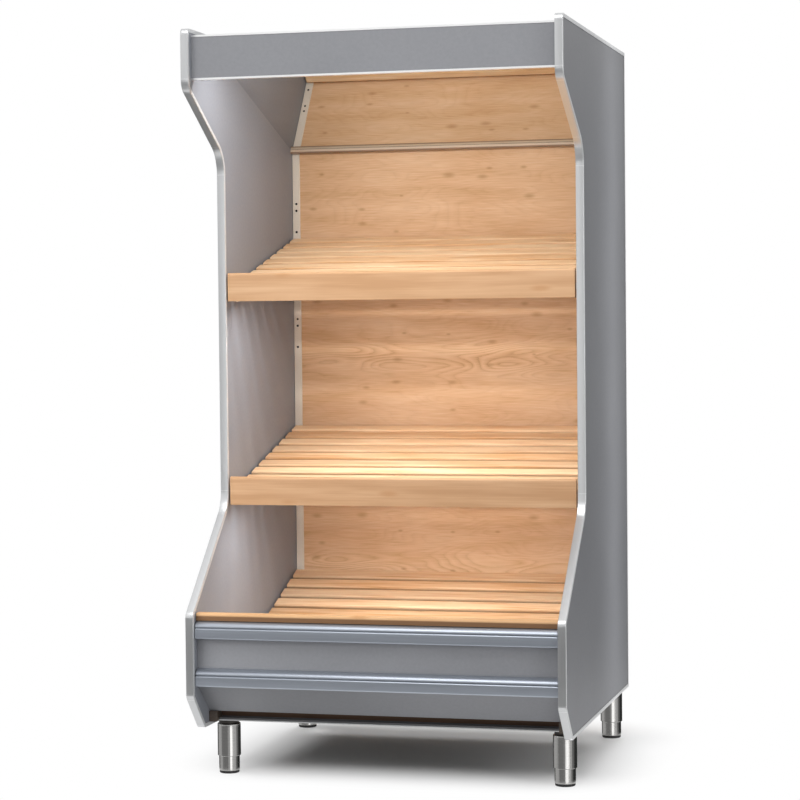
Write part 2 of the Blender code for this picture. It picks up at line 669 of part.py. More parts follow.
# Bin: sloping grid from the back ledger down to the front rail
bin_lift = bpy.data.objects.new("bin_grid_lift", None)
bin_lift.location = at(BIN_START_D, BIN_H)
rack.objects.link(bin_lift)
ledger_front = BIN_BACK_D + LEDGER_UNDER
lean = (SLAT_T + BATTEN_T) * math.sin(BIN_TILT)
bin_batten_back = (ledger_front + LEDGER_T + lean - BIN_START_D) / math.cos(BIN_TILT)
batten_top = (SLAT_T - BATTEN_LET_IN) * math.sin(BIN_TILT)
bin_batten_front = (RAIL_BACK_D - FIT + batten_top - BIN_START_D) / math.cos(BIN_TILT)
slat_grid("bin_slat_grid", BIN_TILT, BIN_PITCH, BIN_COUNT, bin_batten_back, bin_batten_front, bin_lift)
ledger_top = slat_under_h(ledger_front, BIN_START_D, BIN_H, BIN_TILT) - FIT
across(
    "bin_ledger_back",
    (
        (FRAME_START_D, ledger_top - LEDGER_LEG),
        (FRAME_START_D + LEDGER_T, ledger_top - LEDGER_LEG),
        (FRAME_START_D + LEDGER_T, ledger_top - LEDGER_T),
        (ledger_front, ledger_top - LEDGER_T),
        (ledger_front, ledger_top),
        (FRAME_START_D, ledger_top),
    ),
    CREAM,
)

# Lower front panel
lower_d = (LOWER_FRONT_D - LOWER_T, LOWER_FRONT_D)
rack_box("lower_front_panel", INSIDE_X, lower_d, (LOWER_LOW_H, LOWER_TOP_H), LAMINATE)

# Kick panel, sloping back to the base frame
inward = Vector((-math.sin(KICK_TILT), math.cos(KICK_TILT))) * KICK_T
kick = (KICK_TOP, KICK_LOW, KICK_LOW + inward, KICK_TOP + inward)
across("kick_panel", [tuple(corner) for corner in kick], LAMINATE)


def bumper_nose(wall):
    """Points (forward, up) of the bumper's rounded nose, moved in by the wall thickness."""
    points = []
    for step in range(BUMPER_STEPS + 1):
        turn = math.pi * (step / BUMPER_STEPS - 0.5)
        tall = (BUMPER_H - BUMPER_PEAK_UP if turn > 0 else BUMPER_PEAK_UP) - wall
        forward = (BUMPER_DEEP - wall) * abs(math.cos(turn)) ** BUMPER_FULLNESS
        points.append((forward, BUMPER_PEAK_UP + tall * math.sin(turn)))
    return points


def bumper_section():
    """The open section of a bumper: nose outside, hollow inside, with a groove above the middle."""
    grooved = []
    nose = bumper_nose(0.0)
    for (forward, up), (next_forward, next_up) in zip(nose, nose[1:]):
        grooved.append((forward, up))
        if up < GROOVE_UP <= next_up:
            share = (GROOVE_UP - up) / (next_up - up)
            face = forward + share * (next_forward - forward)
            low, high = GROOVE_UP - GROOVE_W / 2, GROOVE_UP + GROOVE_W / 2
            grooved += [(face, low), (face - GROOVE_DEEP, low), (face - GROOVE_DEEP, high), (face, high)]
    return grooved + nose[-1:] + bumper_nose(BUMPER_WALL)[::-1]


# Bumper profiles on the lower front panel
bumper_lows = {"bumper_lower": LOWER_LOW_H - BUMPER_UNDER, "bumper_upper": LOWER_TOP_H - BUMPER_H}
for name, low_h in bumper_lows.items():
    section = [(LOWER_FRONT_D + FIT + forward, low_h + up) for forward, up in bumper_section()]
    smooth(across(name, section, BUMPER, TRIM_IN_X))

# Cap rail on the bin's front wall
cap_deep = lower_d[1] + CAP_FRONT_OVER - (lower_d[0] - CAP_BACK_OVER)
shape = bmesh.new()
cap_x = BOARD_IN_X - CAP_END_GAP
box_into(shape, (-cap_x, 0, 0), (cap_x, cap_deep, CAP_H))
round_long_edges(shape, 0, cap_x, CAP_R, ROUND_STEPS, lambda v: v.co.z > CAP_H / 2)
cap_place = at(lower_d[1] + CAP_FRONT_OVER, LOWER_TOP_H + FIT)
add("bin_cap_rail", mesh_from("bin_cap_rail", shape), WOOD, cap_place)


def lathe(name, profile, place, finish):
    """A round piece: (radius, height) points from the top axis, down the outside and back to the axis."""
    shape = bmesh.new()
    points = [shape.verts.new((radius, 0, up)) for radius, up in profile]
    for a, b in zip(points, points[1:]):
        shape.edges.new((a, b))
    mesh = bpy.data.meshes.new(name)
    shape.to_mesh(mesh)
    shape.free()
    made = add(name, mesh, finish, place)
    screw = made.modifiers.new("lathe", "SCREW")
    screw.steps = LATHE_STEPS
    screw.render_steps = LATHE_STEPS
    screw.use_merge_vertices = True
    screw.merge_threshold = 0.00001
    screw.use_smooth_shade = True
    return made


# Legs: a plate under the frame, a tube with a neck, a sleeve that telescopes in it and a pad on the floor
bore_r = LEG_R - LEG_WALL
sleeve_r = bore_r - SLEEVE_PLAY
sleeve_bore_r = sleeve_r - SLEEVE_WALL
plate_low_h = FRAME_LOW_H - FIT - PLATE_T
neck_top = plate_low_h - FIT - LEG_LOW_H
sleeve_low = PAD_T + FIT - FLOOR_GAP - LEG_LOW_H
leg_depths = {"front": BASE_LEG_FRONT_D - FRONT_LEG_BACK, "back": UPRIGHT_FRONT_D - BACK_LEG_BACK}
for row, leg_d in leg_depths.items():
    for side, sign in (("left", -1), ("right", 1)):
        leg_x = UPRIGHT_MID_X - LEG_IN
        mouth = at(leg_d, LEG_LOW_H, sign * leg_x)
        x_low, x_high = sorted((-sign * PLATE_HALF, sign * (TRIM_IN_X - leg_x)))
        plate_mesh = box_mesh("leg_plate", (x_low, -PLATE_HALF, 0), (x_high, PLATE_HALF, PLATE_T))
        add(f"leg_plate_{row}_{side}", plate_mesh, DARK, at(leg_d, plate_low_h, sign * leg_x))
        tube = (
            (0.0, neck_top),
            (NECK_R, neck_top),
            (NECK_R, LEG_L),
            (LEG_R - EDGE_R, LEG_L),
            (LEG_R, LEG_L - EDGE_R),
            (LEG_R, EDGE_R),
            (LEG_R - EDGE_R, 0.0),
            (bore_r, 0.0),
            (bore_r, LEG_L - LEG_WALL),
            (0.0, LEG_L - LEG_WALL),
        )
        lathe(f"leg_tube_{row}_{side}", tube, mouth, STEEL)
        sleeve = (
            (sleeve_bore_r, SLEEVE_IN),
            (sleeve_r, SLEEVE_IN),
            (sleeve_r, sleeve_low + EDGE_R),
            (sleeve_r - EDGE_R, sleeve_low),
            (0.0, sleeve_low),
            (0.0, sleeve_low + SLEEVE_WALL),
            (sleeve_bore_r, sleeve_low + SLEEVE_WALL),
            (sleeve_bore_r, SLEEVE_IN),
        )
        lathe(f"foot_sleeve_{row}_{side}", sleeve, mouth, STEEL)
        pad = (
            (0.0, PAD_T),
            (PAD_R, PAD_T),
            (PAD_R, EDGE_R),
            (PAD_R - EDGE_R, 0.0),
            (0.0, 0.0),
        )
        lathe(f"foot_pad_{row}_{side}", pad, (mouth.x, mouth.y, 0.0), RUBBER)
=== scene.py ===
# %% [markdown]
# # A vegetable display rack, dressed for the camera
# The rack stands in a greengrocer's shop: two shaped side panels, three sloping slatted shelves, a mirror
# under the canopy and four screw feet. Its solids come in as a fixed frame, in metres, with the front
# towards -Y and the floor at z = 0. This lesson leaves every solid where it is, gives each one a finish
# built from nodes, adds the small pieces that solids don't carry, and lights the rack as a studio would.

import math

import bmesh
import bpy
from mathutils import Matrix, Vector


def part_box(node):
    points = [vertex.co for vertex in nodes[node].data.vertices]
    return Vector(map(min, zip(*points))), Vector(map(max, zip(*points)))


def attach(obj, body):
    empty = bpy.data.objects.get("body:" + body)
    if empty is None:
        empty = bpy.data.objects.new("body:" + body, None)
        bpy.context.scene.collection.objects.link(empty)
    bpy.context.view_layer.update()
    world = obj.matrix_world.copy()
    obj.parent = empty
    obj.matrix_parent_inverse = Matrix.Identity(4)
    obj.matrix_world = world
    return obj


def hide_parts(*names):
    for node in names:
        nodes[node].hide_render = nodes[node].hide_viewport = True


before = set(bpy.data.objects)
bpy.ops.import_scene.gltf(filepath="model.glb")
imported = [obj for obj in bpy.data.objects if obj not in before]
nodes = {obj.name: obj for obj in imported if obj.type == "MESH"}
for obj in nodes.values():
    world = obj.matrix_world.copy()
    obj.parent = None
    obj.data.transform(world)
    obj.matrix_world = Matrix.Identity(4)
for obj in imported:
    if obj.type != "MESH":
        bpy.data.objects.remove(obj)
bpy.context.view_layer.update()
scene = bpy.context.scene

# %% [markdown]
# ## Camera
# The picture was taken from the front right, a little above half height, with a long lens, so that
# upright lines stay almost parallel. The camera could be placed by eye, but its place and angles were
# solved from the edges of the rack instead, and they are written here as three angles and a place.

# %% Camera
VIEW_AZIMUTH = math.radians(14.509)
VIEW_PITCH = math.radians(1.9686)
VIEW_ROLL = math.radians(-0.5651)
VIEW_PLACE = Vector((1.5854, -6.3066, 1.2103))
LENS_MM = 107.28
SENSOR_MM = 36.0

level_right = Vector((math.cos(VIEW_AZIMUTH), math.sin(VIEW_AZIMUTH), 0))
flat = math.cos(VIEW_PITCH)
ahead = Vector((-level_right.y * flat, level_right.x * flat, -math.sin(VIEW_PITCH)))
level_up = level_right.cross(ahead)
right = math.cos(VIEW_ROLL) * level_right + math.sin(VIEW_ROLL) * level_up
up = math.cos(VIEW_ROLL) * level_up - math.sin(VIEW_ROLL) * level_right
turn = Matrix((right, up, -ahead)).transposed().to_4x4()
camera = bpy.data.objects.new("camera", bpy.data.cameras.new("camera"))
camera.matrix_world = Matrix.Translation(VIEW_PLACE) @ turn
camera.data.lens = LENS_MM
camera.data.sensor_width = SENSOR_MM
scene.collection.objects.link(camera)
scene.camera = camera
scene.view_settings.view_transform = "Standard"
print("camera at", [round(v, 3) for v in camera.matrix_world.translation])

# %% [markdown]
# ## Helpers for finishes
# Colours are noted as the sRGB values that a colour picker shows, but the renderer works in linear light,
# so one function converts them. A second one adds a node, sets it up and links it. An input may be a
# plain value or another node's output, so a whole finish reads from its coordinates down to its shader.
# Short ones for what comes up again and again, such as a sum, a soft step, a mix of two colours or a noise
# with a grain size on each axis, save writing these out each time.

# %% Colour and node helpers
MM = 0.001


def linear(code):
    """An sRGB hex colour as linear RGBA."""
    shares = [int(code[i : i + 2], 16) / 255 for i in (1, 3, 5)]
    return (*[c / 12.92 if c <= 0.04045 else ((c + 0.055) / 1.055) ** 2.4 for c in shares], 1.0)


def put(tree, kind, inputs=None, stops=None, **settings):
    """Adds a node, or feeds one that is there. Inputs are values, or outputs of other nodes."""
    made = kind if isinstance(kind, bpy.types.Node) else tree.nodes.new("ShaderNode" + kind)
    for name, value in settings.items():
        setattr(made, name, value)
    for i, (place, colour) in enumerate(stops or ()):
        ramp = made.color_ramp.elements
        stop = ramp[0] if i == 0 else ramp[len(ramp) - 1] if i == len(stops) - 1 else ramp.new(place)
        stop.position = place
        stop.color = linear(colour)
    for name, value in (inputs or {}).items():
        if isinstance(value, bpy.types.NodeSocket):
            tree.links.new(value, made.inputs[name])
        else:
            made.inputs[name].default_value = value
    return made


def reckon(tree, operation, *values):
    """A number worked out from others by an operation such as ADD."""
    return put(tree, "Math", dict(enumerate(values)), operation=operation).outputs[0]


def ranged(tree, value, goal, source=(0.0, 1.0), kind="LINEAR"):
    """Carries a value over from its source range to a goal range."""
    ends = {"From Min": source[0], "From Max": source[1], "To Min": goal[0], "To Max": goal[1]}
    return put(tree, "MapRange", {"Value": value, **ends}, interpolation_type=kind).outputs["Result"]


def eased(tree, value, goal, source=(0.0, 1.0)):
    """The same with a soft start and a soft end."""
    return ranged(tree, value, goal, source, "SMOOTHSTEP")


def coloured(tree, value, *stops):
    """Colours a value by a ramp; each stop is a place from 0 to 1 and a colour."""
    return put(tree, "ValToRGB", {"Fac": value}, stops).outputs["Color"]


def blend(tree, share, first, second):
    """Mixes two colours; share is how much of the second one shows."""
    return put(tree, "Mix", {0: share, 6: first, 7: second}, data_type="RGBA").outputs[2]


def speckle(tree, place, size_mm, detail):
    """Noise with one grain size, in millimetres."""
    inputs = {"Vector": place, "Scale": 1 / (size_mm * MM), "Detail": detail}
    return put(tree, "TexNoise", inputs).outputs["Fac"]


def grain(tree, place, sizes_mm, detail):
    """Noise with a grain size for each axis; with None it doesn't change along that axis."""
    scale = [1 / (size * MM) if size else 0.0 for size in sizes_mm]
    squeezed = put(tree, "Mapping", {"Vector": place, "Scale": scale}).outputs["Vector"]
    return put(tree, "TexNoise", {"Vector": squeezed, "Scale": 1.0, "Detail": detail}).outputs["Fac"]


def bumped(tree, height, strength, deep_mm):
    """A normal that follows a height, for what is finer than a mesh."""
    relief = {"Height": height, "Strength": strength, "Distance": deep_mm * MM}
    return put(tree, "Bump", relief).outputs["Normal"]


def begin(name, **values):
    """A new material, its node tree, its shader and the place of a point on the solid.

    Values are those of the shader that are the same all over.
    """
    made = bpy.data.materials.new(name)
    made.use_nodes = True
    tree = made.node_tree
    shader = tree.nodes["Principled BSDF"]
    for socket, value in values.items():
        shader.inputs[socket.replace("_", " ")].default_value = value
    return made, tree, shader, put(tree, "TexCoord").outputs["Object"]


def dress(material, *names):
    """Gives solids a finish through their own material slots."""
    for name in names:
        for slot in nodes[name].material_slots:
            slot.material = material
    print(material.name, "on", len(names), "solids")


print("mid grey #777777 is", round(linear("#777777")[0], 3), "in linear light")

# %% [markdown]
# ## Floor and backdrop
# The rack stands on white paper. Under the rack the paper shows its own soft shadow; a short way outside
# the rack's footprint it turns to plain white for the camera and for reflections, so that no horizon
# shows. Polished metal also sees the grey studio floor where the paper ends, a couple of metres away, and
# that is what gives upright edges their darker tone. A curved sweep would do this too, but a flat disc
# keeps its look from every side.

# %% Floor and world
FLOOR_R = 14.0
FLOOR_SEGMENTS = 96
# Middle and half size of the rack's shadow, how wide it fades, and from where to where the paper ends
SHADE_MIDDLE = (0.0, 0.17)
SHADE_HALF = (0.36, 0.24)
FADE_W = (0.33, 0.37)
PAPER_END = (1.2, 2.4)
STUDIO_FLOOR = 0.36
SKY_LEVEL = 0.28


def seen_rays(tree):
    """A light path's outputs, and a value that is 1 for rays of the camera, of reflections and of glass."""
    path = put(tree, "LightPath").outputs
    seen = reckon(tree, "MAXIMUM", path["Is Camera Ray"], path["Is Glossy Ray"])
    return path, reckon(tree, "MAXIMUM", seen, path["Is Transmission Ray"])


floor_shape = bmesh.new()
bmesh.ops.create_circle(floor_shape, cap_ends=True, segments=FLOOR_SEGMENTS, radius=FLOOR_R)
floor_mesh = bpy.data.meshes.new("floor")
floor_shape.to_mesh(floor_mesh)
floor_shape.free()
floor = bpy.data.objects.new("floor", floor_mesh)
scene.collection.objects.link(floor)

floor_paper = bpy.data.materials.new("studio_paper_matt")
floor_paper.use_nodes = True
tree = floor_paper.node_tree
tree.nodes.clear()
path, seen = seen_rays(tree)
place = put(tree, "TexCoord").outputs["Object"]
# How far a place lies beyond the middle of the shadow, in fade widths
spread = put(tree, "VectorMath", {0: place, 1: (*SHADE_MIDDLE, 0.0)}, operation="SUBTRACT")
spread = put(tree, "VectorMath", {0: spread.outputs[0]}, operation="ABSOLUTE")
spread = put(tree, "VectorMath", {0: spread.outputs[0], 1: (*SHADE_HALF, 0.0)}, operation="SUBTRACT")
spread = put(tree, "VectorMath", {0: spread.outputs[0], 1: (0.0, 0.0, 0.0)}, operation="MAXIMUM")
per_width = (1 / FADE_W[0], 1 / FADE_W[1], 0.0)
spread = put(tree, "VectorMath", {0: spread.outputs[0], 1: per_width}, operation="MULTIPLY")
outside = put(tree, "VectorMath", {0: spread.outputs[0]}, operation="LENGTH")
fade = eased(tree, outside.outputs["Value"], (0.0, 1.0))
share = reckon(tree, "MULTIPLY", seen, fade)
far = put(tree, "VectorMath", {0: place}, operation="LENGTH")
ending = eased(tree, far.outputs["Value"], (1.0, STUDIO_FLOOR), PAPER_END)
bright = reckon(tree, "MAXIMUM", ending, path["Is Camera Ray"])
paper = put(tree, "BsdfDiffuse", {"Color": linear("#F2F2F2")})
white = put(tree, "Emission", {"Color": linear("#FFFFFF"), "Strength": bright})
both = put(tree, "MixShader", {0: share, 1: paper.outputs[0], 2: white.outputs[0]})
put(tree, "OutputMaterial", {"Surface": both.outputs[0]})
floor_mesh.materials.append(floor_paper)

world = bpy.data.worlds.new("studio")
scene.world = world
world.use_nodes = True
tree = world.node_tree
seen = seen_rays(tree)[1]
level = ranged(tree, seen, (SKY_LEVEL, 1.0))
put(tree, tree.nodes["Background"], {"Color": linear("#FFFFFF"), "Strength": level})
print("floor radius", FLOOR_R, "m, sky level", SKY_LEVEL)

# %% [markdown]
# ## Studio lights
# A softbox high in front lights the tops of the slats. A large scrim behind the camera fills the bays,
# and a softbox far to the right reaches across the rack to the left wall. A short strip behind the fascia
# and one under each shelf light the bays as shop lighting does, and a narrow one near the right side
# draws the pale upright band that the panel shows near its back edge. A small one low on the left makes
# the lower front fall off to the right. Two more, on the left and behind, show the sides that the main
# picture doesn't. Lamps could be point lights, but large areas give the soft edges of shop pictures.


# %% Lights
def softbox(name, place, aim, size, watts, mirrored=True):
    """A rectangular lamp that the camera doesn't see; mirrored says whether reflections do."""
    lamp = bpy.data.lights.new(name, "AREA")
    lamp.shape = "RECTANGLE"
    lamp.size, lamp.size_y = size
    lamp.energy = watts
    made = bpy.data.objects.new(name, lamp)
    made.location = place
    made.rotation_euler = (Vector(aim) - Vector(place)).to_track_quat("-Z", "Y").to_euler()
    made.visible_camera = False
    made.visible_glossy = mirrored
    scene.collection.objects.link(made)


softbox("front_scrim", (-1.0, -7.0, 2.2), (0.0, 0.0, 1.0), (5.0, 4.0), 104.0, mirrored=False)
softbox("top_softbox", (0.0, -2.6, 4.4), (0.0, -0.1, 0.9), (3.4, 2.2), 85.0)
softbox("right_softbox", (4.5, -2.6, 1.4), (-0.4, -0.2, 0.8), (1.8, 2.2), 52.0)
softbox("side_strip", (0.72, 0.27, 1.05), (0.5, 0.27, 1.05), (0.04, 1.9), 1.8, mirrored=False)
softbox("low_left_softbox", (-0.9, -1.0, 0.74), (-0.3, -0.46, 0.36), (0.5, 0.3), 3.6, mirrored=False)
softbox("left_softbox", (-4.2, 0.6, 3.8), (-0.5, 0.2, 1.0), (1.8, 1.4), 60.0, mirrored=False)
softbox("back_softbox", (0.0, 4.6, 4.4), (0.0, 0.5, 1.0), (2.4, 1.4), 105.0, mirrored=False)
STRIP_SIZE = (0.76, 0.05)
STRIP_AIM_DROP = 0.4
for bay, strip_y, strip_z, lean, watts in (
    ("canopy", -0.36, 1.915, 0.12, 5.6),
    ("upper_bay", -0.13, 1.25, 0.06, 3.0),
    ("middle_bay", -0.17, 0.70, 0.09, 3.3),
):
    aim = (0.0, strip_y + lean, strip_z - STRIP_AIM_DROP)
    softbox(f"{bay}_strip", (0.0, strip_y, strip_z), aim, STRIP_SIZE, watts, mirrored=False)

# %% [markdown]
# ## Cards
# Polished metal shows what stands round it, so a studio sets up cards that only reflections see. Two pale
# grey ones far behind the camera tone down the front of the edge profiles, and a bright one before them
# gives the right profile its sheen. A dark one stands low in front, for the bumpers and the lower ends of
# the profiles. Dark ones to the left, upright and on the floor, shade the underside of the left head, and
# one on the right darkens the soft reflections of the right panel. The legs see only the floor close by,
# so low flags, from black to bright, stand round each of them and draw upright bands from a dark rim to a
# highlight right of the middle. Three black cards do the opposite: reflections don't see them, and they
# only shade. One under the bin keeps the light of the bays off the floor, where it would draw stripes
# between the slats. One on the floor keeps its light off the left of the kick panel, and one on the right
# lets the lower front grow darker to that side.


# %% Cards
def stand(name, shape, level, shading=False):
    """A finished bmesh as a card that only reflections see, or that only shades what is near it."""
    mesh = bpy.data.meshes.new(name)
    shape.to_mesh(mesh)
    shape.free()
    paint = bpy.data.materials.new(f"card_{name}")
    paint.use_nodes = True
    paint.node_tree.nodes.clear()
    glow = put(paint.node_tree, "Emission", {"Strength": level})
    put(paint.node_tree, "OutputMaterial", {"Surface": glow.outputs[0]})
    mesh.materials.append(paint)
    made = bpy.data.objects.new(name, mesh)
    scene.collection.objects.link(made)
    made.visible_camera = False
    made.visible_transmission = False
    made.visible_glossy = not shading
    made.visible_diffuse = shading
    made.visible_shadow = shading


def card(name, middle, size, along, level, shading=False):
    """A flat card; along is the way its face looks."""
    shape = bmesh.new()
    turn = Vector(along).to_track_quat("Z", "Y").to_matrix().to_4x4()
    place = Matrix.Translation(middle) @ turn @ Matrix.Diagonal((size[0] / 2, size[1] / 2, 1.0, 1.0))
    bmesh.ops.create_grid(shape, x_segments=1, y_segments=1, size=1.0, matrix=place)
    stand(name, shape, level, shading)


def chain(shape, spots):
    """Points joined by a line of edges; returns the points and the edges."""
    dots = [shape.verts.new(spot) for spot in spots]
    return dots, [shape.edges.new(pair) for pair in zip(dots, dots[1:])]


def draw_on(shape, edges):
    """Extrudes an edge line and returns the new edges and points, to be moved on."""
    drawn = bmesh.ops.extrude_edge_only(shape, edges=edges)["geom"]
    dots = {v for v in drawn if isinstance(v, bmesh.types.BMVert)}
    return [e for e in drawn if isinstance(e, bmesh.types.BMEdge) and dots.issuperset(e.verts)], list(dots)


card("front_card", (1.2, -9.0, 3.3), (7.0, 3.8), (0, 1, 0), 0.58)
card("front_left_card", (-5.2, -9.0, 1.1), (4.0, 2.2), (0, 1, 0), 0.60)
card("glow_card", (-1.65, -8.9, 0.80), (1.7, 1.6), (0, 1, 0), 1.8)
card("low_card", (0.3, -1.1, 0.24), (3.4, 0.46), (0, 1, 0), 0.16)
card("left_card", (-1.0, 1.25, 1.15), (2.7, 2.3), (1, 0, 0), 0.16)
card("left_floor_card", (-1.1, 0.75, 0.01), (1.2, 1.6), (0, 0, 1), 0.15)
card("right_card", (1.25, 1.75, 1.02), (2.4, 2.04), (-1, 0, 0), 0.08)
card("bin_card", (0.0, 0.04, 0.20), (0.92, 0.70), (0, 0, 1), 0.0, shading=True)
card("kick_card", (-0.28, -0.78, 0.03), (0.52, 0.50), (0, 0, 1), 0.0, shading=True)
card("right_flag_card", (0.88, -1.6, 0.42), (1.0, 0.60), (0, 1, 0), 0.0, shading=True)

# Low flags stand in arcs round each leg: degrees from the way to the camera, and how bright they are
FLAG_R = 0.068
FLAG_H = 0.12
FLAG_FOOT = 0.002
FLAG_STEPS = 10
LEG_FLAGS = (
    (-150, -112, 0.05),
    (-112, -60, 0.65),
    (-60, -6, 0.28),
    (-6, 8, 0.60),
    (8, 28, 2.30),
    (28, 56, 0.70),
    (56, 80, 0.25),
    (80, 150, 0.04),
)
legs = [f"{row}_{side}" for row in ("front", "back") for side in ("left", "right")]
for i, (start, end, level) in enumerate(LEG_FLAGS):
    shape = bmesh.new()
    for leg in legs:
        leg_low, leg_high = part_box(f"leg_tube_{leg}")
        centre = (leg_low + leg_high) / 2
        to_camera = Vector(((VIEW_PLACE - centre).x, (VIEW_PLACE - centre).y, 0.0)).normalized()
        spots = []
        for step in range(FLAG_STEPS + 1):
            angle = math.radians(start + (end - start) * step / FLAG_STEPS)
            way = Matrix.Rotation(angle, 3, "Z") @ to_camera
            spots.append((centre.x + FLAG_R * way.x, centre.y + FLAG_R * way.y, FLAG_FOOT))
        dots = draw_on(shape, chain(shape, spots)[1])[1]
        bmesh.ops.translate(shape, verts=dots, vec=(0.0, 0.0, FLAG_H))
    stand(f"leg_flags_{i + 1}", shape, level)

# %% [markdown]
# ## Grey laminate
# The panels are chipboard faced with grey melamine, pressed with a fine matt texture. The eye sees an
# even grey with a very faint mottle and broad soft reflections. The outer faces of the side panels are
# painted a darker grey than their inside and the front panels, a painted shade for faces that get less
# light, so their finish picks the colour by how far a point is from the middle of the rack. Two solids
# per panel would do it too, but a board is one piece.


# %% Grey laminate
def melamine(name, outside, inside, split_x):
    """Pressed melamine with a pair of close greys for each facing; the outer one begins at split_x."""
    made, tree, shader, place = begin(name, Roughness=0.48, Specular_IOR_Level=0.35)
    mottle = speckle(tree, place, 8, 3.0)
    cloud = speckle(tree, place, 260, 1.0)
    tone = put(tree, "Mix", {0: 0.5, 2: mottle, 3: cloud})
    outer = coloured(tree, tone.outputs[0], (0.32, outside[0]), (0.68, outside[1]))
    inner = coloured(tree, tone.outputs[0], (0.32, inside[0]), (0.68, inside[1]))
    axes = put(tree, "SeparateXYZ", {"Vector": place}).outputs
    reach = reckon(tree, "ABSOLUTE", axes["X"])
    facing = reckon(tree, "GREATER_THAN", reach, split_x)
    paper = blend(tree, facing, inner, outer)
    # The pressed texture is about 1 mm; it is drawn twice as coarse so that it shows
    pressed = speckle(tree, place, 2, 2.0)
    press = bumped(tree, pressed, 0.08, 0.2)
    put(tree, shader, {"Base Color": paper, "Normal": press})
    return made


side_low, side_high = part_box("side_panel_right")
BOARD_MIDDLE_X = (side_low.x + side_high.x) / 2
# The outer grey is darker than the inner and front greys: painted shade on the outer faces
OUTSIDE_GREY_SHADED = ("#727377", "#797A7E")
INSIDE_GREY = ("#868990", "#8E9198")
side_laminate = melamine("melamine_grey_two_sided", OUTSIDE_GREY_SHADED, INSIDE_GREY, BOARD_MIDDLE_X)
dress(side_laminate, "side_panel_left", "side_panel_right")
FRONT_GREY = ("#838488", "#8A8B8F")
front_laminate = melamine("melamine_grey_pressed", FRONT_GREY, FRONT_GREY, BOARD_MIDDLE_X)
dress(front_laminate, "fascia_panel", "lower_front_panel", "kick_panel", "canopy_top")

# %% [markdown]
# ## Anodised aluminium
# The U profile round each panel and the fascia strips are extruded aluminium with a satin anodised skin:
# a pale neutral metal, with faint lines along the profile left by the die. The lines are noise that is
# squeezed across the profile and stretched along it.

# %% Anodised aluminium
GLOSS_SPREAD = 0.02


def anodised(name, dark, pale, line_mm, roughness, metallic=1.0):
    """Satin metal with die lines that run along the profile; line_mm is their spacing on each axis."""
    made, tree, shader, place = begin(name, Metallic=metallic)
    lines = grain(tree, place, line_mm, 3.0)
    skin = coloured(tree, lines, (0.30, dark), (0.70, pale))
    gloss = ranged(tree, lines, (roughness - GLOSS_SPREAD, roughness + GLOSS_SPREAD))
    ridge = bumped(tree, lines, 0.02, 0.1)
    put(tree, shader, {"Base Color": skin, "Roughness": gloss, "Normal": ridge})
    return made


edge_metal = anodised("aluminium_anodised_satin", "#C8C9CA", "#CCCDCE", (1.2, 90, 90), 0.30, 0.85)
dress(edge_metal, "edge_trim_left", "edge_trim_right")
strip_metal = anodised("aluminium_anodised_bright", "#F4F4F4", "#FAFAFA", (90, 1.2, 1.2), 0.35)
dress(strip_metal, "fascia_strip_bottom", "fascia_strip_top")

# %% [markdown]
# ## Strip under the mirror, with painted shade and highlight
# The mirror stands in a strip of lacquered aluminium. Its lower half is painted brown, a painted shade,
# and its rolled upper edge is painted pale, a painted highlight, so the colour is a ramp over the height
# of the lip, and the line between them wanders a little.

# %% Strip under the mirror, painted shade and highlight
LIP_SHADE_H = 3.2 * MM
LIP_HIGHLIGHT_H = 4.8 * MM
SHADE_LINE_WANDER = 1.2 * MM
foot_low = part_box("mirror_foot_strip")[0]
foot_strip_metal, tree, shader, place = begin("aluminium_lacquered_shade_and_highlight", Metallic=0.2)
axes = put(tree, "SeparateXYZ", {"Vector": place}).outputs
wander_noise = grain(tree, place, (60, 4, 4), 3.0)
edge = reckon(tree, "MULTIPLY_ADD", wander_noise, SHADE_LINE_WANDER, axes["Z"])
shade_line_low = foot_low.z + SHADE_LINE_WANDER / 2
highlight_share = ranged(tree, edge, (0.0, 1.0), (shade_line_low + LIP_SHADE_H, shade_line_low + LIP_HIGHLIGHT_H))
# Brown below is painted shade, pale above is a painted highlight on the rolled edge
skin = coloured(tree, highlight_share, (0.0, "#9A7D65"), (1.0, "#DAC5AD"))
gloss = ranged(tree, wander_noise, (0.32, 0.48))
put(tree, shader, {"Base Color": skin, "Roughness": gloss})
dress(foot_strip_metal, "mirror_foot_strip")

# %% [markdown]
# ## Bumper lacquer
# The two profiles on the lower front take the knocks of trolleys. They are blue-grey lacquered metal with
# a soft gloss, so that a rounded top shows bright and an upright face shows darker. A clear coat over a
# coloured base gives both the lacquer's depth and its reflections.

# %% Bumper lacquer
bumper_lacquer, tree, shader, place = begin(
    "aluminium_lacquered_blue_grey", Metallic=0.88, Coat_Weight=0.15, Coat_Roughness=0.35
)
lines = grain(tree, place, (260, 3, 3), 2.0)
skin = coloured(tree, lines, (0.3, "#AAB0BA"), (0.7, "#B0B6C0"))
gloss = ranged(tree, lines, (0.38, 0.44))
put(tree, shader, {"Base Color": skin, "Roughness": gloss})

# %% [markdown]
# ## Cream powder coat
# The steel frame is sprayed with cream powder and baked. The skin is smooth with a low orange peel, a
# waviness of a few millimetres that breaks up reflections without showing as a texture.


# %% Cream powder coat
def powder_coat(name, dark, pale, roughness):
    """Baked powder on steel, in two close tones, with a low orange peel."""
    made, tree, shader, place = begin(name, Roughness=roughness)
    peel = speckle(tree, place, 3, 1.5)
    skin = coloured(tree, peel, (0.3, dark), (0.7, pale))
    wave = bumped(tree, peel, 0.12, 0.15)
    put(tree, shader, {"Base Color": skin, "Normal": wave})
    return made


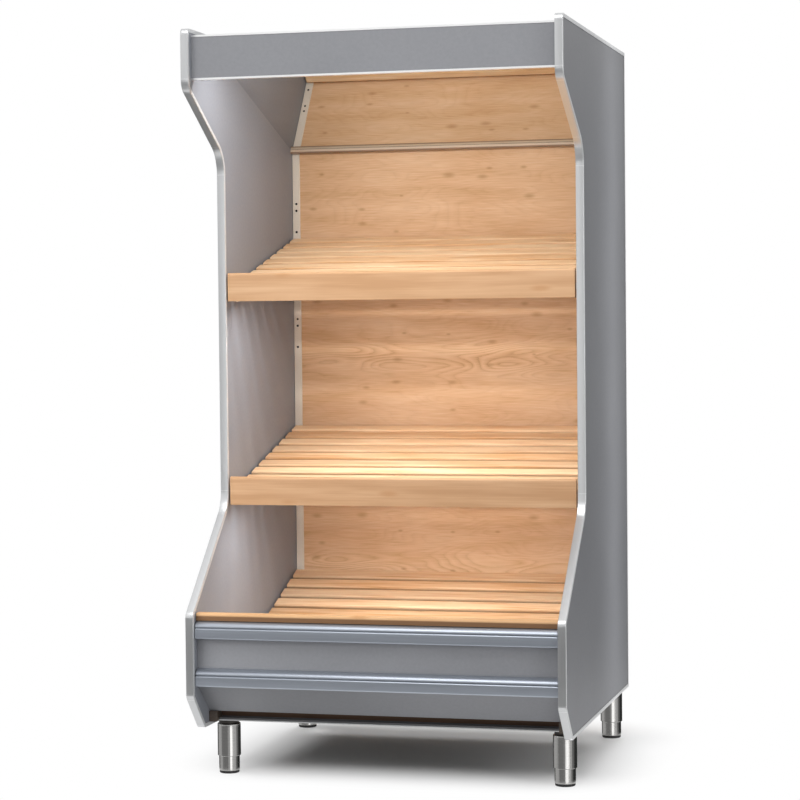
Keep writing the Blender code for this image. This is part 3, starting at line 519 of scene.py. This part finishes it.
cream_coat = powder_coat("steel_powder_coated_cream", "#E5DBCC", "#ECE2D4", 0.42)
dress(
    cream_coat,
    *("upright_left", "upright_right", "base_rail_back", "bin_ledger_back"),
    *("upper_bracket_left", "upper_bracket_right", "middle_bracket_left", "middle_bracket_right"),
)

# %% [markdown]
# ## Base legs, cream coat with painted shade
# The base legs are coated cream like the rest of the frame, but they stand low under the rack, so their
# coat is painted a dark, greyish umber: a painted shade. It has the same orange peel.

# %% Base legs with painted shade
# The dark umber is painted shade on the cream frame
base_leg_shaded_coat = powder_coat("steel_powder_coated_cream_painted_shade", "#4A4038", "#544940", 0.5)
dress(base_leg_shaded_coat, "base_leg_left", "base_leg_right")

# %% [markdown]
# ## Wood veneer of the back
# The back boards are faced with a pale hardwood veneer, peeled and flat, oiled satin. Its grain runs
# across the rack: fine fibres, soft clouds, a few small knots, and here and there the nested arcs of a
# growth ring that the knife has met at a low angle. Height lines of a stretched noise give just such
# arcs, so the rings are drawn as the fraction of a noise times a count, made unsteady by the fibres. They
# show in patches, mostly in two bands of height, as on the real boards.

# %% Wood veneer of the back
RING_COUNT = 17.0
RING_WAVER = 0.45
# Middle and half height of each band where the rings show
RING_BANDS = ((1.095, 0.085), (0.47, 0.08))
KNOT_CELL = (130 * MM, 58 * MM)
KNOT_CHANCE = 0.36
KNOT_REACH = (0.07, 0.21)
KNOT_DEPTH = 0.43

veneer, tree, shader, place = begin("hardwood_veneer_oiled_satin", Roughness=0.5, Specular_IOR_Level=0.35)
fibre = grain(tree, place, (70, None, 2.2), 4.0)
cloud = grain(tree, place, (300, None, 42), 3.0)
streak = put(tree, "Mix", {0: 0.5, 2: fibre, 3: cloud})
ground = coloured(tree, streak.outputs[0], (0.34, "#CFA276"), (0.5, "#E1B890"), (0.66, "#EDCAA6"))
height = grain(tree, place, (330, None, 68), 0.8)
many = reckon(tree, "MULTIPLY", height, RING_COUNT)
waver = reckon(tree, "MULTIPLY_ADD", fibre, RING_WAVER, many)
ring = reckon(tree, "FRACT", waver)
axes = put(tree, "SeparateXYZ", {"Vector": place}).outputs
band = None
for middle_z, half_z in RING_BANDS:
    off = reckon(tree, "ABSOLUTE", reckon(tree, "SUBTRACT", axes["Z"], middle_z))
    near = eased(tree, off, (1.0, 0.0), (0.0, half_z))
    band = near if band is None else reckon(tree, "MAXIMUM", band, near)
patch = grain(tree, place, (230, None, 120), 1.0)
patched = ranged(tree, patch, (0.25, 1.0), (0.36, 0.60))
banded = reckon(tree, "MULTIPLY", band, patched)
shown = ranged(tree, banded, (0.10, 0.52))
figure_tones = ((0.0, "#AC7845"), (0.22, "#D6AA7E"), (0.7, "#F0CCA4"), (1.0, "#D9AD82"))
figure = coloured(tree, ring, *figure_tones)
ringed = blend(tree, shown, ground, figure)
# A knot fades out 9 to 27 mm from its middle along the grain; the cells are flat, as the face is
knot_x = reckon(tree, "DIVIDE", axes["X"], KNOT_CELL[0])
knot_z = reckon(tree, "DIVIDE", axes["Z"], KNOT_CELL[1])
knot_place = put(tree, "CombineXYZ", {"X": knot_x, "Y": knot_z})
knots = put(tree, "TexVoronoi", {"Vector": knot_place.outputs[0], "Scale": 1.0}, voronoi_dimensions="2D")
chance = put(tree, "SeparateColor", {"Color": knots.outputs["Color"]})
chosen = reckon(tree, "GREATER_THAN", chance.outputs["Red"], 1 - KNOT_CHANCE)
reach = ranged(tree, chance.outputs["Green"], KNOT_REACH)
blob = eased(tree, knots.outputs["Distance"], (KNOT_DEPTH, 0.0), (0.01, reach))
knot = reckon(tree, "MULTIPLY", chosen, blob)
knotted = blend(tree, knot, ringed, linear("#A36C35"))
pore = bumped(tree, fibre, 0.10, 0.2)
put(tree, shader, {"Base Color": knotted, "Normal": pore})
dress(veneer, "back_board_lower", "back_board_middle", "back_board_upper")

# %% [markdown]
# ## Solid wood of the slats and boards
# Slats, front boards and the cap rail are planed solid wood, oiled. Each slat is cut from another plank,
# so each has its own tone. A slat's number is its distance down the slope over the slat spacing, rounded
# down, and a random value for that number makes it lighter or darker. Below its top a slat is painted
# darker, a painted shade on its front edge and in the gap under it, so the colour is also mixed by how
# deep a point lies under the plane of the tops.

# %% Solid wood of the slats and boards
# Tilt and slat spacing of the grids, how deep under a slat's top the painted shade begins and is full, and
# its share
SHELF_TILT = math.radians(14.4)
SHELF_PITCH = 66.172 * MM
BIN_TILT = math.radians(19.002)
BIN_PITCH = 64.795 * MM
SLAT_SHADE_FROM = 4.2 * MM
SLAT_SHADE_TO = 8.7 * MM
SLAT_SHADE = 0.65
# Where on the grain the dark, middle and pale tones stand, and how far a plank of its own shifts them
WOOD_STOPS = (0.34, 0.5, 0.66)
PLANK_SHIFT = (-0.06, 0.06)
# Spacing of knots in solid wood on each axis, and the shares of it between which a knot fades
SOLID_KNOT_MM = (240, 70, 70)
SOLID_KNOT_FADE = (0.03, 0.16)


def planed_wood(name, tones, tilt=0.0, pitch=1.0, start=(0.0, 0.0), knot=0.5, soft=0.5, slats=False):
    """Oiled solid wood with its grain across the rack; slats change tone every pitch down a tilted grid.

    Tones go from dark to pale, and start is the (y, z) where the first slat's top begins. Knot is how dark
    knots are, and soft is the share of broad clouds in the grain.
    """
    made, tree, shader, place = begin(name, Roughness=0.46, Specular_IOR_Level=0.4)
    down = Vector((0.0, -math.cos(tilt), -math.sin(tilt)))
    along = put(tree, "VectorMath", {0: place, 1: down}, operation="DOT_PRODUCT")
    offset = -down.dot(Vector((0.0, *start))) + pitch
    moved = reckon(tree, "ADD", along.outputs["Value"], offset)
    counted = reckon(tree, "DIVIDE", moved, pitch)
    number = reckon(tree, "FLOOR", counted)
    plank = put(tree, "TexWhiteNoise", {"W": number}, noise_dimensions="1D")
    shifted = put(tree, "VectorMath", {0: place, 1: plank.outputs["Color"]}, operation="ADD")
    fibre = grain(tree, shifted.outputs[0], (160, 4, 4), 3.0)
    cloud = grain(tree, shifted.outputs[0], (300, 26, 26), 2.0)
    streak = put(tree, "Mix", {0: soft, 2: fibre, 3: cloud})
    tone = ranged(tree, plank.outputs["Value"], PLANK_SHIFT)
    toned = reckon(tree, "ADD", streak.outputs[0], tone)
    ground = coloured(tree, toned, *zip(WOOD_STOPS, tones))
    knot_scale = [1 / (size * MM) for size in SOLID_KNOT_MM]
    knot_axes = put(tree, "Mapping", {"Vector": shifted.outputs[0], "Scale": knot_scale})
    knots = put(tree, "TexVoronoi", {"Vector": knot_axes.outputs["Vector"], "Scale": 1.0})
    blob = eased(tree, knots.outputs["Distance"], (knot, 0.0), SOLID_KNOT_FADE)
    colour = blend(tree, blob, ground, linear("#A8733E"))
    # With slats, a painted shade darkens each slat's front edge and the gap below its top
    if slats:
        under = Vector((0.0, math.sin(tilt), -math.cos(tilt)))
        sunk = put(tree, "VectorMath", {0: place, 1: under}, operation="DOT_PRODUCT")
        top = under.dot(Vector((0.0, *start)))
        painted_slat_shade = ranged(tree, sunk.outputs["Value"], (0.0, SLAT_SHADE), (top + SLAT_SHADE_FROM, top + SLAT_SHADE_TO))
        colour = blend(tree, painted_slat_shade, colour, linear("#8E5C34"))
    pore = bumped(tree, fibre, 0.10, 0.2)
    put(tree, shader, {"Base Color": colour, "Normal": pore})
    return made


SLAT_TONES = ("#DBA672", "#EFC69A", "#FADBB4")
SLAT_STARTS = {
    "upper_slat_grid": (SHELF_TILT, SHELF_PITCH, (0.3810, 1.4359)),
    "middle_slat_grid": (SHELF_TILT, SHELF_PITCH, (0.3810, 0.8859)),
    "bin_slat_grid": (BIN_TILT, BIN_PITCH, (0.3758, 0.4571)),
}
for grid, (tilt, pitch, start) in SLAT_STARTS.items():
    name = f"planed_wood_oiled_{grid}"
    dress(planed_wood(name, SLAT_TONES, tilt, pitch, start, knot=0.35, soft=0.4, slats=True), grid)
BOARD_TONES = ("#B98F68", "#C59C76", "#CEA782")
board_wood = planed_wood("planed_wood_oiled_boards", BOARD_TONES, knot=0.4, soft=0.68)
dress(board_wood, "upper_front_board", "middle_front_board")

# The cap rail's front edge is painted darker than its top, a painted shade, up to where its rounding begins
CAP_SHADE_H = 10.5 * MM
CAP_SHADE_END = 13.5 * MM
cap_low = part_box("bin_cap_rail")[0]
cap_wood = planed_wood("planed_wood_oiled_cap", ("#C2976B", "#CDA377", "#D7B086"))
tree = cap_wood.node_tree
shader = tree.nodes["Principled BSDF"]
axes = put(tree, "SeparateXYZ", {"Vector": put(tree, "TexCoord").outputs["Object"]}).outputs
# Below the rounding the front edge gets a dark brown: painted shade
above_cap_shade = ranged(tree, axes["Z"], (0.0, 1.0), (cap_low.z + CAP_SHADE_H, cap_low.z + CAP_SHADE_END))
oiled = shader.inputs["Base Color"].links[0].from_socket
put(tree, shader, {"Base Color": blend(tree, above_cap_shade, linear("#7A593C"), oiled)})
dress(cap_wood, "bin_cap_rail")

# %% [markdown]
# ## Mirror and its backing
# The mirror is silvered float glass: it shows the shelf and the back again, slightly darker, with a trace
# of haze. A metal with almost no roughness is enough, since the silver lies right behind the glass. The
# board behind it is brown hardboard with its felted fibres.

# %% Mirror and backing
silvered, tree, shader, place = begin("glass_silvered", Metallic=1.0)
haze = speckle(tree, place, 120, 2.0)
tint = coloured(tree, haze, (0.3, "#E4E6E5"), (0.7, "#EAECEB"))
film = ranged(tree, haze, (0.0, 0.03))
put(tree, shader, {"Base Color": tint, "Roughness": film})
dress(silvered, "mirror_glass")

hardboard, tree, shader, place = begin("hardboard_felted", Roughness=0.75)
felt = speckle(tree, place, 5, 5.0)
skin = coloured(tree, felt, (0.35, "#6E5138"), (0.65, "#866547"))
fuzz = bumped(tree, felt, 0.2, 0.3)
put(tree, shader, {"Base Color": skin, "Normal": fuzz})
dress(hardboard, "mirror_backing")

# %% [markdown]
# ## Stainless legs, dark steel and rubber
# The legs are turned stainless tube, ground round and round, so that a reflection is drawn out into
# upright bands. The leg plates are dark oxidised steel, the front rail is rolled steel with a zinc edge,
# and the feet stand on black rubber.

# %% Stainless, dark steel and rubber
stainless, tree, shader, place = begin("stainless_steel_ground", Metallic=1.0)
rings = grain(tree, place, (40, 40, 0.9), 2.0)
skin = coloured(tree, rings, (0.3, "#AFAEAC"), (0.7, "#B5B4B2"))
gloss = ranged(tree, rings, (0.17, 0.22))
put(tree, shader, {"Base Color": skin, "Roughness": gloss})
dress(stainless, *[f"leg_tube_{leg}" for leg in legs], *[f"foot_sleeve_{leg}" for leg in legs])

dark_steel, tree, shader, place = begin("steel_oxidised_dark", Metallic=0.6)
scale_skin = speckle(tree, place, 14, 4.0)
skin = coloured(tree, scale_skin, (0.3, "#3A3633"), (0.7, "#4C4845"))
gloss = ranged(tree, scale_skin, (0.38, 0.55))
put(tree, shader, {"Base Color": skin, "Roughness": gloss})
dress(dark_steel, *[f"leg_plate_{leg}" for leg in legs])

# The front rail has a bright zinc edge at its foot; over it a charcoal lip, painted shade inside the
# channel, and on top a brown web, a painted reflection of the wood above it
ZINC_H = 2.8 * MM
LIP_H = 9.0 * MM
rail_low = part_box("base_rail_front")[0]
rail_steel, tree, shader, place = begin("steel_rolled_zinc_edge", Metallic=0.5)
axes = put(tree, "SeparateXYZ", {"Vector": place}).outputs
rolled = grain(tree, place, (80, 3, 3), 3.0)
zinc = coloured(tree, rolled, (0.3, "#B4B5B5"), (0.7, "#C4C5C5"))
lip = coloured(tree, rolled, (0.3, "#4E4E50"), (0.7, "#5A5A5C"))
web = coloured(tree, rolled, (0.3, "#533D2F"), (0.7, "#604939"))
# The charcoal lip is painted shade and the brown web a painted reflection of the wood
above_zinc = reckon(tree, "GREATER_THAN", axes["Z"], rail_low.z + ZINC_H)
above_lip = reckon(tree, "GREATER_THAN", axes["Z"], rail_low.z + LIP_H)
skin = blend(tree, above_zinc, zinc, lip)
skin = blend(tree, above_lip, skin, web)
gloss = ranged(tree, rolled, (0.38, 0.52))
put(tree, shader, {"Base Color": skin, "Roughness": gloss})
dress(rail_steel, "base_rail_front")

rubber, tree, shader, place = begin("rubber_moulded_black", Roughness=0.7)
bloom = speckle(tree, place, 6, 3.0)
skin = coloured(tree, bloom, (0.3, "#161616"), (0.7, "#222222"))
put(tree, shader, {"Base Color": skin})
dress(rubber, *[f"foot_pad_{leg}" for leg in legs])

# %% [markdown]
# ## Edge profiles
# The U profile round each panel is the brightest line of the rack, so its bends have to shine without
# facets and its corners have to catch the light. The solid has sharp corners and few steps to a bend;
# this piece takes its place with rounded corners and fine bends. Its section is one edge line, which is
# extruded from station to station round the outline, turned a little at each one, merged where it comes
# home and then given a wall.

# %% Edge profiles
TRIM_LEG = 10 * MM
TRIM_WALL = 1.0 * MM
TRIM_CORNER = 1.0 * MM
CORNER_STEPS = 4
BEND_STEPS = 18
SMOOTH_ANGLE = math.radians(35)
MERGE = 0.01 * MM
# Faces that look this much sideways are legs of the U; they keep the bath's matt etch and aren't brushed
LEG_FACING = 0.9
leg_metal = anodised("aluminium_anodised_matt", "#D0D1D2", "#D6D7D8", (90, 1.2, 1.2), 0.5, 0.3)
# Depth from the panel's back edge, height above its bottom edge and radius, bend by bend
BENDS = (
    (0.0, 0.0, 0.004),
    (0.8965, 0.0, 0.020),
    (0.983, 0.0905, 0.022),
    (0.983, 0.307, 0.022),
    (0.6855, 0.572, 0.082),
    (0.6855, 1.5075, 0.082),
    (0.965, 1.668, 0.040),
    (0.965, 1.822, 0.015),
    (0.0, 1.822, 0.004),
)


def bend_stations(back_y, bottom_z):
    """Bend by bend round the outline: pairs of a point on the edge and the way along it."""
    points = [Vector((0.0, back_y - depth, bottom_z + height)) for depth, height, _ in BENDS]
    for i, (_, _, radius) in enumerate(BENDS):
        before = (points[i] - points[i - 1]).normalized()
        after = (points[(i + 1) % len(BENDS)] - points[i]).normalized()
        angle = before.angle(after)
        axis = before.cross(after).normalized()
        start = points[i] - before * radius * math.tan(angle / 2)
        centre = start + axis.cross(before) * radius
        arc = []
        for step in range(BEND_STEPS + 1):
            turned = Matrix.Rotation(angle * step / BEND_STEPS, 3, axis)
            arc.append((centre + turned @ (start - centre), turned @ before))
        yield arc


def trim_section(low_x, high_x, proud=0.0):
    """The outer line of the U as (x, depth below the edge), set out by a little where it is proud."""
    corner = TRIM_CORNER + proud
    line = [(low_x - proud, TRIM_LEG)]
    for middle_x, first in ((low_x + TRIM_CORNER, math.pi), (high_x - TRIM_CORNER, math.pi / 2)):
        for step in range(CORNER_STEPS + 1):
            turn = first - math.pi / 2 * step / CORNER_STEPS
            line.append((middle_x + corner * math.cos(turn), TRIM_CORNER - corner * math.sin(turn)))
    return [*line, (high_x + proud, TRIM_LEG)]


def edge_line(shape, section, spot, way):
    """A section as joined edges across the profile at a station."""
    inward = Vector((0.0, way.z, -way.y))
    return chain(shape, [spot + inward * deep + Vector((x, 0.0, 0.0)) for x, deep in section])[1]


def weld(shape):
    """Merges points that lie together and turns the faces outwards."""
    bmesh.ops.remove_doubles(shape, verts=shape.verts, dist=MERGE)
    bmesh.ops.recalc_face_normals(shape, faces=shape.faces)


def piece(name, shape, finishes, body):
    """A finished bmesh as a smooth object that rides on a body of the frame."""
    mesh = bpy.data.meshes.new(name)
    shape.to_mesh(mesh)
    shape.free()
    for finish in finishes:
        mesh.materials.append(finish)
    mesh.shade_smooth()
    mesh.set_sharp_from_angle(angle=SMOOTH_ANGLE)
    made = bpy.data.objects.new(name, mesh)
    scene.collection.objects.link(made)
    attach(made, body)
    print(name, len(mesh.polygons), "faces on", body)
    return made


for side in ("left", "right"):
    trim_low, trim_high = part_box(f"edge_trim_{side}")
    stations = [station for arc in bend_stations(trim_high.y, trim_low.z) for station in arc]
    shape = bmesh.new()
    edges = edge_line(shape, trim_section(trim_low.x, trim_high.x), *stations[0])
    for (spot, way), (next_spot, next_way) in zip(stations, stations[1:] + stations[:1]):
        edges, dots = draw_on(shape, edges)
        turned = way.rotation_difference(next_way).to_matrix()
        bmesh.ops.rotate(shape, verts=dots, cent=spot, matrix=turned)
        bmesh.ops.translate(shape, verts=dots, vec=next_spot - spot)
    bmesh.ops.remove_doubles(shape, verts=shape.verts, dist=MERGE)
    # The legs are deeper than the back corners are round, so their tips meet in a mitre there
    for tip in [v for v in shape.verts if v.is_boundary]:
        tip.co.y = min(tip.co.y, trim_high.y - TRIM_LEG)
        tip.co.z = min(max(tip.co.z, trim_low.z + TRIM_LEG), trim_high.z - TRIM_LEG)
    weld(shape)
    bmesh.ops.solidify(shape, geom=shape.faces[:], thickness=TRIM_WALL)
    shape.normal_update()
    for face in shape.faces:
        face.material_index = int(abs(face.normal.x) > LEG_FACING)
    finishes = (edge_metal, leg_metal)
    made = piece(f"edge_trim_{side}_drawn", shape, finishes, "cabinet")
    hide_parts(f"edge_trim_{side}")

# %% [markdown]
# ## Joints of the edge profile
# Round each panel the profile is put together from straight lengths and bent corner lengths, and a hair
# of a gap shows across it at both ends of every bend, its sawn edges catching the light. The gap could be
# cut into the profile, but a thin bright band round its three outer faces, a painted highlight, reads the
# same.

# %% Joints of the edge profile
SEAM_W = 1.0 * MM
SEAM_PROUD = 0.12 * MM
SEAM_T = 0.4 * MM

# The pale metal of the bands is a painted highlight for the lit edges of the joints
seam_highlight_metal = anodised("aluminium_joint_painted_highlight", "#E4E5E6", "#EDEEEF", (1.2, 90, 90), 0.35)
for side in ("left", "right"):
    trim_low, trim_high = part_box(f"edge_trim_{side}")
    shape = bmesh.new()
    # The back corners are bent from the same length and have no joints
    for arc in list(bend_stations(trim_high.y, trim_low.z))[1:-1]:
        for spot, way in (arc[0], arc[-1]):
            section = trim_section(trim_low.x, trim_high.x, SEAM_PROUD)
            dots = draw_on(shape, edge_line(shape, section, spot - way * SEAM_W / 2, way))[1]
            bmesh.ops.translate(shape, verts=dots, vec=way * SEAM_W)
    bmesh.ops.recalc_face_normals(shape, faces=shape.faces)
    bmesh.ops.solidify(shape, geom=shape.faces[:], thickness=SEAM_T)
    piece(f"trim_joints_{side}", shape, (seam_highlight_metal,), "cabinet")

# %% [markdown]
# ## Sockets of the legs
# Each leg is screwed into a dark steel socket under its plate. The solid has only the neck there, so a
# turned ring is spun round it, with a chamfer at its lower rim and a flat seat on top.

# %% Sockets of the legs
SOCKET_R = 27 * MM
SOCKET_BORE = 20.5 * MM
SOCKET_PLAY = 0.3 * MM
SOCKET_CHAMFER = 1.5 * MM
TUBE_L = 87 * MM
SOCKET_SEGMENTS = 48


def spin_round(shape, spots, centre, axis, steps):
    """A line of points, joined and spun right round an axis."""
    dots, edges = chain(shape, spots)
    bmesh.ops.spin(
        shape, geom=dots + edges, cent=centre, axis=axis, angle=math.tau, steps=steps, use_merge=True
    )


shape = bmesh.new()
for leg in legs:
    tube_low, tube_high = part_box(f"leg_tube_{leg}")
    centre = (tube_low + tube_high) / 2
    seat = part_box(f"leg_plate_{leg}")[0].z - SOCKET_PLAY
    rim = tube_low.z + TUBE_L + SOCKET_PLAY
    line = ((SOCKET_BORE, seat), (SOCKET_R, seat), (SOCKET_R, rim + SOCKET_CHAMFER))
    line += ((SOCKET_R - SOCKET_CHAMFER, rim), (SOCKET_BORE, rim), (SOCKET_BORE, seat))
    spots = [(centre.x + radius, centre.y, z) for radius, z in line]
    spin_round(shape, spots, (centre.x, centre.y, 0.0), (0.0, 0.0, 1.0), SOCKET_SEGMENTS)
weld(shape)
piece("leg_sockets", shape, (dark_steel,), "cabinet")

# %% [markdown]
# ## Punched holes of the uprights
# A hole that no bracket uses lies in shade and looks black. The solid shows its cream coat in its holes, so
# a black cup, painted shade for the inside of the hole, is spun into each: a cup with a wall and a floor.
# Where the holes are is read from the rims that the solid carries, taken from the bottom up; a rim ends
# where the next point is more than a few millimetres higher.

# %% Punched holes of the uprights
CUP_R = 3.3 * MM
CUP_DEEP = 4.0 * MM
CUP_WALL = 0.3 * MM
CUP_STEPS = 24
FACE_MARGIN = 1.0 * MM
FACE_FLAT = 0.05 * MM
RIM_GAP = 4.0 * MM


def holes_of(name):
    """Middles of the holes in an upright's front face."""
    low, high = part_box(name)
    face_middle = (low.x + high.x) / 2
    rims = set()
    for vert in nodes[name].data.vertices:
        spot = nodes[name].matrix_world @ vert.co
        on_face = spot.y < low.y + FACE_FLAT and low.z + FACE_MARGIN < spot.z < high.z - FACE_MARGIN
        if on_face and low.x + FACE_MARGIN < spot.x < high.x - FACE_MARGIN:
            rims.add(round(spot.z, 5))
    groups = []
    for z in sorted(rims):
        if not groups or z - groups[-1][-1] > RIM_GAP:
            groups.append([])
        groups[-1].append(z)
    return [Vector((face_middle, low.y, (group[0] + group[-1]) / 2)) for group in groups]


shape = bmesh.new()
for side in ("left", "right"):
    brackets = [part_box(f"{shelf}_bracket_{side}") for shelf in ("upper", "middle")]
    holes = holes_of(f"upright_{side}")
    free = [hole for hole in holes if all(not low.z < hole.z < high.z for low, high in brackets)]
    print("upright", side, "free holes at", [round(hole.z, 4) for hole in free])
    for hole in free:
        line = ((0.0, CUP_DEEP), (CUP_R, CUP_DEEP), (CUP_R, 0.0))
        spots = [hole + Vector((radius, deep, 0.0)) for radius, deep in line]
        spin_round(shape, spots, hole, (0.0, 1.0, 0.0), CUP_STEPS)
weld(shape)
bmesh.ops.solidify(shape, geom=shape.faces[:], thickness=CUP_WALL)
# The black of the cups is painted shade inside the holes
piece("upright_hole_shade_cups", shape, (rubber,), "cabinet")

# %% [markdown]
# ## Bumper profiles
# Each bumper is drawn through a die: a round top, a narrow groove under it, a rounded brow that catches
# the light, an upright lower face and a tight rounding at the foot. Its ends are closed with pressed caps
# that draw in. The solid has a plain round nose; this piece takes its place with the finer section. The
# section is one edge line, drawn along the rack and given a wall, as the die would do it.

# %% Bumper profiles
BUMPER_WALL = 2.2 * MM
ROUND_STEPS = 14
BROW_STEPS = 6
FOOT_STEPS = 6
# The round top takes up what is above the shoulder, and stays this much behind the brow
SHOULDER_SHARE = 0.68
TOP_BACK = 1.0 * MM
GROOVE_DEEP = 5.0 * MM
GROOVE_TALL = 3.0 * MM
GROOVE_EDGE = 0.8 * MM
BROW_R = 4.0 * MM
FOOT_R = 3.5 * MM
# How far from the end each ring of a cap stands, and its size as a share of the section
CAP_RINGS = ((0.0, 0.80), (0.6 * MM, 0.90), (1.8 * MM, 0.97), (4.0 * MM, 1.0))


def quarter(steps):
    """Sines and cosines of even steps through a quarter turn."""
    turns = [math.pi / 2 * i / steps for i in range(steps + 1)]
    return [(math.sin(turn), math.cos(turn)) for turn in turns]


def bumper_line(deep, tall):
    """The outer line of the section, as (forward, up) from the panel's face and the profile's foot."""
    shoulder = SHOULDER_SHARE * tall
    line = [((deep - TOP_BACK) * s, shoulder + (tall - shoulder) * c) for s, c in quarter(ROUND_STEPS)]
    line += [(deep - GROOVE_DEEP, shoulder - GROOVE_EDGE), (deep - GROOVE_DEEP, shoulder - GROOVE_TALL)]
    brow_z = shoulder - GROOVE_TALL - BROW_R
    line += [(deep - BROW_R + BROW_R * s, brow_z + BROW_R * c) for s, c in quarter(BROW_STEPS)]
    line += [(deep - FOOT_R + FOOT_R * c, FOOT_R - FOOT_R * s) for s, c in quarter(FOOT_STEPS)]
    return [*line, (0.0, 0.0)]


def close_end(shape, edges):
    """Fills the end of an open section with one face."""
    dots = {v for e in edges for v in e.verts}
    ends = [v for v in dots if sum(v in e.verts for e in edges) == 1]
    bmesh.ops.edgeloop_fill(shape, edges=[*edges, shape.edges.new(ends)])


for name in ("bumper_lower", "bumper_upper"):
    low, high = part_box(name)
    middle_z = (low.z + high.z) / 2
    outline = bumper_line(high.y - low.y, high.z - low.z)
    section = [(high.y - forward, low.z + rise) for forward, rise in outline]
    rings = [(low.x + off, size) for off, size in CAP_RINGS]
    rings += [(high.x - off, size) for off, size in reversed(CAP_RINGS)]
    shape = bmesh.new()
    size = rings[0][1]
    spots = [(low.x, high.y + (y - high.y) * size, middle_z + (z - middle_z) * size) for y, z in section]
    edges = chain(shape, spots)[1]
    close_end(shape, edges)
    for (x, size), (next_x, next_size) in zip(rings, rings[1:]):
        edges, dots = draw_on(shape, edges)
        grown = next_size / size
        to_core = Matrix.Translation((0.0, -high.y, -middle_z))
        bmesh.ops.scale(shape, verts=dots, vec=(1.0, grown, grown), space=to_core)
        bmesh.ops.translate(shape, verts=dots, vec=(next_x - x, 0.0, 0.0))
    close_end(shape, edges)
    bmesh.ops.recalc_face_normals(shape, faces=shape.faces)
    bmesh.ops.solidify(shape, geom=shape.faces[:], thickness=BUMPER_WALL)
    bmesh.ops.recalc_face_normals(shape, faces=shape.faces)
    made = piece(f"{name}_drawn", shape, (bumper_lacquer,), "cabinet")
    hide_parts(name)

# %% [markdown]
# ## Fixings of the back boards
# Behind the rack each back board is held by bent steel angles, coated like the uprights, with one pan
# head screw into the board and one into the upright. They can't be seen from the front, but the back
# looks unfinished without them. An angle is one filled section drawn upwards; a screw head is a line spun
# round its axis, with the drive as a dip.

# %% Fixings of the back boards
ANGLE_LEG = 17 * MM
ANGLE_T = 1.6 * MM
ANGLE_R = 3.0 * MM
ANGLE_TALL = 22 * MM
ANGLE_PLAY = 0.2 * MM
ANGLE_INSET = 90 * MM
ANGLE_STEPS = 5
HEAD_STEPS = 20
# Radius and height of a pan head's outline in mm, from the middle of its drive round to that of its seat
HEAD_LINE = ((0.0, 0.9), (1.2, 0.9), (1.3, 1.9), (2.2, 1.7))
HEAD_LINE += ((3.0, 1.15), (3.4, 0.4), (3.4, 0.0), (0.0, 0.0))


def angle_section():
    """An angle's section as (distance from the upright, distance behind the board)."""
    turns = [math.pi * (1 + i / ANGLE_STEPS / 2) for i in range(ANGLE_STEPS + 1)]
    bend = [(math.cos(turn), math.sin(turn)) for turn in turns]
    outer = [(ANGLE_R * (1 + c), ANGLE_R * (1 + s)) for c, s in bend]
    inner = [(ANGLE_R + (ANGLE_R - ANGLE_T) * c, ANGLE_R + (ANGLE_R - ANGLE_T) * s) for c, s in bend]
    line = [(0.0, ANGLE_LEG), *outer, (ANGLE_LEG, 0.0), (ANGLE_LEG, ANGLE_T)]
    return [*line, *reversed(inner), (ANGLE_T, ANGLE_LEG)]


def screw_head(shape, seat, axis):
    """A pan head that stands on a seat and looks along an axis."""
    side = axis.orthogonal().normalized()
    spots = [seat + side * radius * MM + axis * height * MM for radius, height in HEAD_LINE]
    spin_round(shape, spots, seat, axis, HEAD_STEPS)


angles, heads = bmesh.new(), bmesh.new()
for bay in ("lower", "middle", "upper"):
    board_low, board_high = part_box(f"back_board_{bay}")
    behind = board_high.y + ANGLE_PLAY
    for edge_x, inwards in ((board_low.x, 1), (board_high.x, -1)):
        for middle_z in (board_low.z + ANGLE_INSET, board_high.z - ANGLE_INSET):
            low_z = middle_z - ANGLE_TALL / 2
            line = []
            for across, back in angle_section():
                line.append(angles.verts.new((edge_x + inwards * across, behind + back, low_z)))
            edges = [angles.edges.new(pair) for pair in zip(line, line[1:] + line[:1])]
            filled = bmesh.ops.edgeloop_fill(angles, edges=edges)["faces"]
            drawn = bmesh.ops.extrude_face_region(angles, geom=filled)["geom"]
            moved = [v for v in drawn if isinstance(v, bmesh.types.BMVert)]
            bmesh.ops.translate(angles, verts=moved, vec=(0.0, 0.0, ANGLE_TALL))
            reach = (ANGLE_LEG + ANGLE_R) / 2
            on_board = Vector((edge_x + inwards * reach, behind + ANGLE_T, middle_z))
            screw_head(heads, on_board, Vector((0.0, 1.0, 0.0)))
            on_upright = Vector((edge_x + inwards * ANGLE_T, behind + reach, middle_z))
            screw_head(heads, on_upright, Vector((inwards, 0.0, 0.0)))
bmesh.ops.recalc_face_normals(angles, faces=angles.faces)
piece("board_angles", angles, (cream_coat,), "cabinet")
weld(heads)
piece("board_screws", heads, (stainless,), "cabinet")
